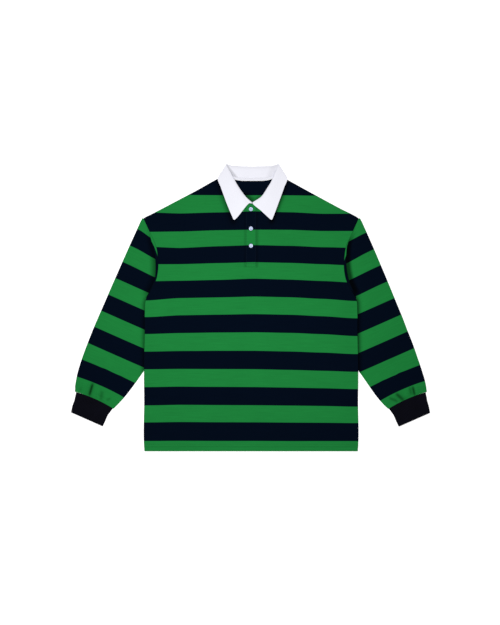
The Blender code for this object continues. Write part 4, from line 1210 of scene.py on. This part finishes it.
COLLAR_WHITE = "#EEEEF7"
TIP_ROUND = 5.0
STAND_BULGE = 0.7
LEAF_BULGE = 0.42
LEFT_TIP_DRAWN = 1.6
LEFT_END_HOLLOWED = 7.0
RIGHT_END_FILLED = 2.6
COLLAR_STITCH_INSET = 5.0
COLLAR_PITCH = 3.0
THREAD_WHITE = "#E9E9F2"


def collar_middle_surface(steps, shares):
    """Middle surface of the collar, from the front end at -X round the back to the one at +X.

    Every section starts at the neck seam, climbs the stand, turns at the roll line and runs down the
    leaf to its free edge. Above the front the leaf lies over the stand, and behind the neck under it."""
    at = np.linspace(0.0, 2.0, steps)
    stations = column(COLLAR_ROWS, "at")
    value = {name: through(at, stations, column(COLLAR_ROWS, name)) for name in CollarRow._fields}

    def point(part):
        return np.stack([value[part + "_x"], value[part + "_y"], value[part + "_z"]], axis=-1)

    def towards(a, b, share, z):
        made = a + (b - a) * share
        made[:, 2] = z
        return made

    seam, roll, edge = point("seam"), point("roll"), point("edge")
    opening = ROLL_OPENING * value["over"]
    stand_z, leaf_z = value["roll_z"] + opening, value["roll_z"] - opening
    stand_end = towards(roll, seam, STAND_BEND, stand_z)
    leaf_start = towards(roll, edge, LEAF_BEND, leaf_z)
    stand_middle = towards(seam, roll, 0.5, seam[:, 2] + STAND_BULGE * (stand_z - seam[:, 2]))
    leaf_middle = towards(leaf_start, edge, 0.5, edge[:, 2] + LEAF_BULGE * (leaf_z - edge[:, 2]))
    guide = np.stack([seam, stand_middle, stand_end, roll, leaf_start, leaf_middle, edge])
    half = np.moveaxis(through(shares, GUIDE_SHARES, guide), 0, 1)
    sway = value["sway"][:, None] * np.interp(shares, (0.0, 0.34, 0.5, 1.0), (0.0, 1.0, 1.0, 0.0))
    left, right = half.copy(), half[-2::-1].copy()
    drawn = LEFT_TIP_DRAWN * (1 - smooth(at / 0.45))[:, None] * smooth((shares - 0.45) / 0.4)
    hollowed = np.sin(pi * np.clip((shares - ROLL_SHARE) / 0.48, 0.0, 1.0) ** 0.45)
    drawn = drawn - LEFT_END_HOLLOWED * (1 - smooth(at / 0.3))[:, None] * hollowed
    left[..., 0] = COLLAR_MIDDLE + sway - half[..., 0] + drawn
    filled = np.sin(pi * np.clip((shares - ROLL_SHARE) / 0.26, 0.0, 1.0))
    filled = RIGHT_END_FILLED * (1 - smooth(at / 0.3))[:, None] * filled
    right[..., 0] = COLLAR_MIDDLE + (sway + half[..., 0] - filled)[-2::-1]
    whole = np.concatenate([left, right])
    place = np.concatenate([at, at[-2::-1]])
    leaf = (shares >= ROLL_SHARE)[None, :] & (place < 0.99)[:, None]
    from_middle = np.abs(whole[..., 0] - PLACKET_CENTRE)
    strip = smooth((PLACKET_WIDTH / 2 + OVER_PLACKET - from_middle) / OVER_EASE)
    beneath = front_top(whole[..., 0], whole[..., 1]) + (SEAM_GAP + JERSEY_WALL) * strip
    rest_z = beneath + 2 * SEAM_GAP + TWILL_WALL / 2
    whole[..., 2] = np.where(leaf, np.maximum(whole[..., 2], rest_z), whole[..., 2])
    return whole, place


def surface_normals(surface):
    """Unit normals of a grid of points, from its steps across and along."""
    normal = np.cross(np.gradient(surface, axis=1), np.gradient(surface, axis=0))
    return normal / np.linalg.norm(normal, axis=-1, keepdims=True)


def moved_out(surface, normals, distance):
    """The surface moved along its normals, and never below what the shirt lies on."""
    moved = surface + normals * distance
    moved[..., 2] = np.maximum(moved[..., 2], 0.0)
    return moved


def twill_material(name, colour, pitch):
    """Bleached cotton twill: matt white with a cold cast, fine diagonal lines of its weave painted a little
    darker where they lie low, and shade painted into hollows.
    """
    made, tree, shader = new_material(name, 0.85, 0.15)
    cloth = add(tree, "SeparateXYZ", {0: add(tree, "UVMap", uv_map="cloth").outputs[0]}).outputs
    slant = add(tree, "Math", {0: cloth[0], 1: cloth[1]}, operation="ADD").outputs[0]
    turn = add(tree, "Math", {0: slant, 1: 2 * pi / (pitch * MM)}, operation="MULTIPLY").outputs[0]
    line = add(tree, "Math", {0: turn}, operation="SINE").outputs[0]
    place = add(tree, "TexCoord").outputs["Object"]
    yarn = add(tree, "TexNoise", {"Vector": place, "Scale": 1100.0, "Detail": 2.0}).outputs[0]
    pressed = add(tree, "TexNoise", {"Vector": place, "Scale": 24.0, "Detail": 2.0}).outputs[0]
    height = add(tree, "Math", {0: line, 1: 0.35, 2: yarn}, operation="MULTIPLY_ADD").outputs[0]
    # Painted shade on the weave: its low lines a little darker than its raised ones
    weave = add(tree, "MapRange", {0: height, 1: 0.0, 2: 1.0, 3: 0.96, 4: 1.01}).outputs[0]
    uneven = add(tree, "MapRange", {0: pressed, 1: 0.3, 2: 0.7, 3: 0.99, 4: 1.01}).outputs[0]
    shade = add(tree, "Math", {0: weave, 1: uneven}, operation="MULTIPLY").outputs[0]
    # Shade painted into the colour where the collar's leaf shades its stand
    painted_shadow = painted_shade_share(tree)
    shade = add(tree, "Math", {0: shade, 1: painted_shadow}, operation="MULTIPLY").outputs[0]
    tinted = add(tree, "VectorMath", {0: linear(colour)[:3], "Scale": shade}, operation="SCALE").outputs[0]
    tree.links.new(tinted, shader.inputs["Base Color"])
    rough = add(tree, "MapRange", {0: yarn, 3: 0.78, 4: 0.9}).outputs[0]
    tree.links.new(rough, shader.inputs["Roughness"])
    bump = add(tree, "Bump", {"Strength": 0.3, "Distance": 0.25 * MM, "Height": height})
    tree.links.new(bump.outputs[0], shader.inputs["Normal"])
    shader.inputs["Sheen Weight"].default_value = 0.05
    shader.inputs["Sheen Roughness"].default_value = 0.5
    return made


twill = twill_material("white_cotton_twill", COLLAR_WHITE, 1.5)
shares = np.concatenate(
    [np.linspace(0.0, 0.32, 14), np.linspace(0.335, 0.52, 22), np.linspace(0.545, 1.0, 34)]
)


def round_tips(surface):
    """Rounds the collar's two points: the corner's square of cloth is drawn in to a quarter disc."""
    reach = TIP_ROUND
    for inwards in (1, -1):
        sheet = surface[::inwards]
        step_in = sheet[3, -1] - sheet[0, -1]
        step_up = sheet[0, -6] - sheet[0, -1]
        step_in, step_up = step_in / np.linalg.norm(step_in), step_up / np.linalg.norm(step_up)
        from_end = travelled(sheet, 0)
        up = travelled(sheet[:, ::-1], 1)[:, ::-1]
        a = np.clip(1 - from_end / reach, 0.0, 1.0)
        b = np.clip(1 - up / reach, 0.0, 1.0)
        less_a = a - a * np.sqrt(1 - b**2 / 2)
        less_b = b - b * np.sqrt(1 - a**2 / 2)
        sheet += reach * (less_a[..., None] * step_in + less_b[..., None] * step_up)


surface, place = collar_middle_surface(181, shares)
round_tips(surface)
normals = surface_normals(surface)
grain = np.stack([travelled(surface, 0)[:, -1:] + 0 * surface[..., 0], travelled(surface, 1)], axis=-1)
from_free = np.minimum(grain[:, -1:, 1] - grain[..., 1], grain[..., 0] - grain[:1, :, 0])
from_free = np.minimum(from_free, grain[-1:, :, 0] - grain[..., 0])
half_wall = TWILL_WALL / 2 - 0.5 * np.exp(-((np.maximum(from_free, 0) / 1.0) ** 2))
groove = 0.28 * np.exp(-(((from_free - COLLAR_STITCH_INSET) / 0.9) ** 2))
leaf_side = (shares > 0.5)[None, :]
collar_outside = moved_out(surface, normals, (half_wall - groove * leaf_side)[..., None])
collar_inside = moved_out(surface, normals, -half_wall[..., None])
# Shade is painted onto the stand where the leaf on its right shades it, in a wedge that widens down the roll
# line, and faintly inside the other roll line
down = np.clip((806.0 - surface[..., 1]) / 49.0, 0.0, 1.0)
from_roll = surface[..., 0] - (-70.0 + 30.4 * down)
wedge = 1 - smooth((from_roll / (3.0 + 11.0 * down) - 0.5) / 0.7)
from_left_roll = 74.0 - 19.0 * down - surface[..., 0]
wedge = np.maximum(0.36 * wedge, 0.13 * (1 - smooth((from_left_roll - 8.0) / 16.0)))
painted_stand_shade = wedge * (shares < 0.4)[None, :] * (place > 0.95)[:, None]
collar = cloth_wall("collar_twill", collar_outside, collar_inside, grain * MM, twill, painted_shade=painted_stand_shade)

# The row of stitches inside the collar's free edges
leaf_length = travelled(surface, 1)
edge_share = np.array([
    np.interp(leaf_length[i, -1] - COLLAR_STITCH_INSET, leaf_length[i], np.arange(len(shares)))
    for i in range(len(surface))
])


def on_collar(row, share_index):
    """Point and normal of the collar's outside at a fractional row and column of its grid."""
    i, j = np.floor(row).astype(int), np.floor(share_index).astype(int)
    i, j = np.minimum(i, len(surface) - 2), np.minimum(j, len(shares) - 2)
    a, b = (row - i)[:, None], (share_index - j)[:, None]
    both = np.concatenate([collar_outside, normals], axis=-1)
    mixed = (both[i, j] * (1 - a) + both[i + 1, j] * a) * (1 - b)
    mixed = mixed + (both[i, j + 1] * (1 - a) + both[i + 1, j + 1] * a) * b
    return mixed[:, :3], mixed[:, 3:]


end_row = float(np.interp(COLLAR_STITCH_INSET, travelled(surface, 0)[:, -1], np.arange(len(surface))))
last_row = len(surface) - 1 - end_row
roll_column = float(np.searchsorted(shares, 0.47))
down = np.linspace(roll_column, np.interp(end_row, np.arange(len(surface)), edge_share), 60)
along = np.linspace(end_row, last_row, 500)
path_rows = np.concatenate([np.full(60, end_row), along, np.full(60, last_row)])
path_columns = np.concatenate([down, np.interp(along, np.arange(len(surface)), edge_share), down[::-1]])
path, ups = on_collar(path_rows, path_columns)
path = path + ups * 0.12
begin, end = along_path(path, COLLAR_PITCH, STITCH_SHARE)
nearest = np.searchsorted(travelled(path[None], 1)[0], (np.arange(len(begin)) + 0.5) * COLLAR_PITCH)
ups = ups[np.minimum(nearest, len(ups) - 1)]
white_thread = thread_material("white_sewing_thread", THREAD_WHITE)
collar_stitches = sewn(stitches("collar_stitches", begin, end, ups, 0.3, white_thread))
finished(
    collar, "collar", "twill", flat=(0.464, 0.082), area=0.0305, rests_on=[front, back],
    with_pieces=[collar_stitches],
)

# Neck tape
# Bleached cotton herringbone tape, 10 mm wide with 7 mm of it showing, sewn over the back neck seam
# inside the shirt.

TAPE_WALL = 1.0
NECK_TAPE_WIDTH = 7.0
NECK_TAPE_HALF = 62.0
TAPE_WHITE = "#E9E9F2"
TAPE_TWILL = 1.2

rows = (place > 1.2) & (np.abs(surface[:, 0, 0] - COLLAR_MIDDLE) < NECK_TAPE_HALF)
up = np.where(normals[rows, 0, 2] > 0, 1.0, -1.0)[:, None, None]
stand, out = surface[rows][:, [0, 5]], (normals[rows] * up)[:, :1]
height = np.linalg.norm(stand[:, 1] - stand[:, 0], axis=-1)[:, None, None]
share = NECK_TAPE_WIDTH * np.array([0.03, 0.1, 0.35, 0.65, 0.93, 1.0])[None, :, None] / height
line = stand[:, :1] + (stand[:, 1:] - stand[:, :1]) * share
grain = np.stack([travelled(line, 0), travelled(line, 1)], axis=-1) * MM
tape_material = twill_material("herringbone_cotton_tape", TAPE_WHITE, TAPE_TWILL)
lift = TWILL_WALL / 2 + SEAM_GAP
crown = np.array([0.55, 0.95, 1.0, 1.0, 0.95, 0.55])[None, :, None]
neck_tape = cloth_wall(
    "neck_tape_band", line + out * (lift + TAPE_WALL * crown), line + out * lift, grain, tape_material,
    turned=True,
)
finished(neck_tape, "neck_tape", "tape", flat=(0.130, 0.010), area=0.00095, rests_on=[collar])

# Buttons
# Three four-hole polyester buttons with a pale pearl lustre, 11.4 mm across, turned with a raised rim and
# sewn to the underlap through the overlap's buttonholes.

BUTTON_RADIUS = 5.7
BUTTON_HEIGHT = 2.5
BUTTON_HOLE_RADIUS = 0.8
BUTTON_HOLE_SPREAD = 1.3
BUTTON_ROUND = 0.7
THREAD_HEIGHT = 1.75
BUTTON_SIDES = 48
PEARL = "#9FB2D8"
PEARL_LIGHT = "#BCC9E6"


def pearl_material():
    """Pearl polyester: glossy and pale blue, with slow cloudy swirls under a clear skin."""
    made, tree, shader = new_material("pearl_polyester", 0.2, 0.5)
    place = add(tree, "TexCoord").outputs["Object"]
    cloud = add(
        tree, "TexNoise", {"Vector": place, "Scale": 220.0, "Detail": 3.0, "Distortion": 1.5}
    ).outputs[0]
    swirl = add(
        tree,
        "Mix",
        {"Factor": cloud, 6: linear(PEARL), 7: linear(PEARL_LIGHT)},
        data_type="RGBA",
    ).outputs[2]
    tree.links.new(swirl, shader.inputs["Base Color"])
    rough = add(tree, "MapRange", {0: cloud, 3: 0.14, 4: 0.3}).outputs[0]
    tree.links.new(rough, shader.inputs["Roughness"])
    shader.inputs["Coat Weight"].default_value = 0.3
    shader.inputs["Coat Roughness"].default_value = 0.08
    return made


def button_mesh(name, centre, material):
    """Button: a rounded profile turned round its axis, with four sewing holes cut through."""
    turn = np.linspace(0.0, pi / 2, 6)
    rim_out = np.column_stack(
        [
            BUTTON_RADIUS - BUTTON_ROUND + BUTTON_ROUND * np.sin(turn),
            BUTTON_HEIGHT - BUTTON_ROUND + BUTTON_ROUND * np.cos(turn),
        ]
    )
    rim_in = np.column_stack([4.6 - 1.3 * np.sin(turn), 1.7 + 0.8 * np.cos(turn)])
    base = np.array([(BUTTON_RADIUS, 0.6), (BUTTON_RADIUS - 0.2, 0.2), (BUTTON_RADIUS - BUTTON_ROUND, 0.0)])
    face = np.array([(2.6, 1.62), (1.2, 1.58)])
    profile = np.concatenate([face[::-1], rim_in[::-1], rim_out, base])
    around = np.linspace(0.0, 2 * pi, BUTTON_SIDES + 1)[:-1]
    ring = profile[:, None, :1] * np.stack([np.cos(around), np.sin(around)], -1)[None]
    points = np.dstack([ring, np.broadcast_to(profile[:, 1:], ring.shape[:2])]).reshape(-1, 3)
    points = (points + centre - (0.0, WHOLE_LENGTH / 2, 0.0)) * MM
    mesh = bpy.data.meshes.new(name)
    last = len(profile) - 1
    sides = list(range(BUTTON_SIDES))
    caps = [sides, [last * BUTTON_SIDES + i for i in sides[::-1]]]
    quads = grid_quads(len(profile), BUTTON_SIDES, closed=True).reshape(-1, 4)[:, [0, 3, 2, 1]]
    mesh.from_pydata(points.tolist(), [], quads.tolist() + caps)
    made = bpy.data.objects.new(name, mesh)
    bpy.context.collection.objects.link(made)
    holes = bmesh.new()
    for quarter in range(4):
        angle = pi / 4 + quarter * pi / 2
        pin = bmesh.ops.create_cone(
            holes, cap_ends=True, segments=14, radius1=BUTTON_HOLE_RADIUS * MM,
            radius2=BUTTON_HOLE_RADIUS * MM, depth=4 * BUTTON_HEIGHT * MM,
        )
        reach = BUTTON_HOLE_SPREAD * 2**0.5
        hole = np.array([reach * cos(angle), reach * sin(angle), 0.0])
        spot = (hole + centre - (0, WHOLE_LENGTH / 2, 0)) * MM
        bmesh.ops.translate(holes, verts=pin["verts"], vec=spot)
    cutter_mesh = bpy.data.meshes.new("holes")
    holes.to_mesh(cutter_mesh)
    holes.free()
    cutter = bpy.data.objects.new("holes", cutter_mesh)
    bpy.context.collection.objects.link(cutter)
    cut = made.modifiers.new("holes", "BOOLEAN")
    cut.object = cutter
    cut.solver = "EXACT"
    evaluated = made.evaluated_get(bpy.context.evaluated_depsgraph_get())
    finished_mesh = bpy.data.meshes.new_from_object(evaluated)
    made.modifiers.clear()
    made.data = finished_mesh
    bpy.data.objects.remove(cutter)
    finished_mesh.name = name
    finished_mesh.materials.clear()
    finished_mesh.materials.append(material)
    finished_mesh.shade_smooth()
    finished_mesh.set_sharp_from_angle(angle=radians(35))
    return made


pearl = pearl_material()
for number, seat in enumerate(button_seats, 1):
    button = button_mesh(f"pearl_button_{number}", np.array(seat), pearl)
    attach(button, "root")
    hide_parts(f"button_{number}")

starts, ends = [], []
for x, y, z in button_seats:
    for offset in (-BUTTON_HOLE_SPREAD, BUTTON_HOLE_SPREAD):
        for strand in (-0.24, 0.24):
            starts.append((x + offset + strand, y - BUTTON_HOLE_SPREAD, z + THREAD_HEIGHT))
            ends.append((x + offset + strand, y + BUTTON_HOLE_SPREAD, z + THREAD_HEIGHT))
sewn(stitches("button_threads", starts, ends, UP, 0.27, white_thread))

# Surface, light and camera
# A plain white light table, a large soft box overhead and a little to the left, and an even fill.

floor_mesh = bpy.data.meshes.new("floor")
FLOOR_REACH = 6.0
FLOOR_Z = -0.0003
corners = [(x * FLOOR_REACH, y * FLOOR_REACH, FLOOR_Z) for x, y in ((-1, -1), (1, -1), (1, 1), (-1, 1))]
floor_mesh.from_pydata(corners, [], [(0, 1, 2, 3)])
floor = bpy.data.objects.new("floor", floor_mesh)
bpy.context.collection.objects.link(floor)
table_top, tree, shader = new_material("white_light_table", 0.9, 0.1)
shader.inputs["Base Color"].default_value = linear("#F4F4F4")
shader.inputs["Emission Color"].default_value = (1.0, 1.0, 1.0, 1.0)
shader.inputs["Emission Strength"].default_value = 0.5
floor_mesh.materials.append(table_top)

world = bpy.data.worlds.new("studio")
world.use_nodes = True
world.node_tree.nodes["Background"].inputs["Color"].default_value = (1.0, 1.0, 1.0, 1.0)
world.node_tree.nodes["Background"].inputs["Strength"].default_value = 0.46
bpy.context.scene.world = world


def soft_box(name, spot, target, size, power):
    """A square area light at a spot, turned to its target."""
    light = bpy.data.lights.new(name, "AREA")
    light.size = size
    light.energy = power
    made = bpy.data.objects.new(name, light)
    made.location = spot
    away = made.location - Vector(target)
    made.rotation_mode = "QUATERNION"
    made.rotation_quaternion = away.to_track_quat("Z", "Y")
    made.visible_camera = False
    bpy.context.collection.objects.link(made)
    return made


soft_box("key", (-0.12, 0.03, 1.05), (0.0, 0.0, 0.0), 0.6, 8.4)

PHOTO_PITCH = 2.805
PHOTO_HEIGHT = 625
SENSOR = 36.0
LENS = 85.0
VIEW_CENTRE = (-0.0031, -0.0127)
camera_data = bpy.data.cameras.new("camera")
camera_data.lens = LENS
camera_data.sensor_width = SENSOR
camera = bpy.data.objects.new("camera", camera_data)
distance = PHOTO_HEIGHT * PHOTO_PITCH / SENSOR * LENS + FLAT_LAYERS
camera.location = (*VIEW_CENTRE, distance * MM)
camera_data.clip_end = 50.0
bpy.context.collection.objects.link(camera)
bpy.context.scene.camera = camera
bpy.context.scene.view_settings.view_transform = "Standard"
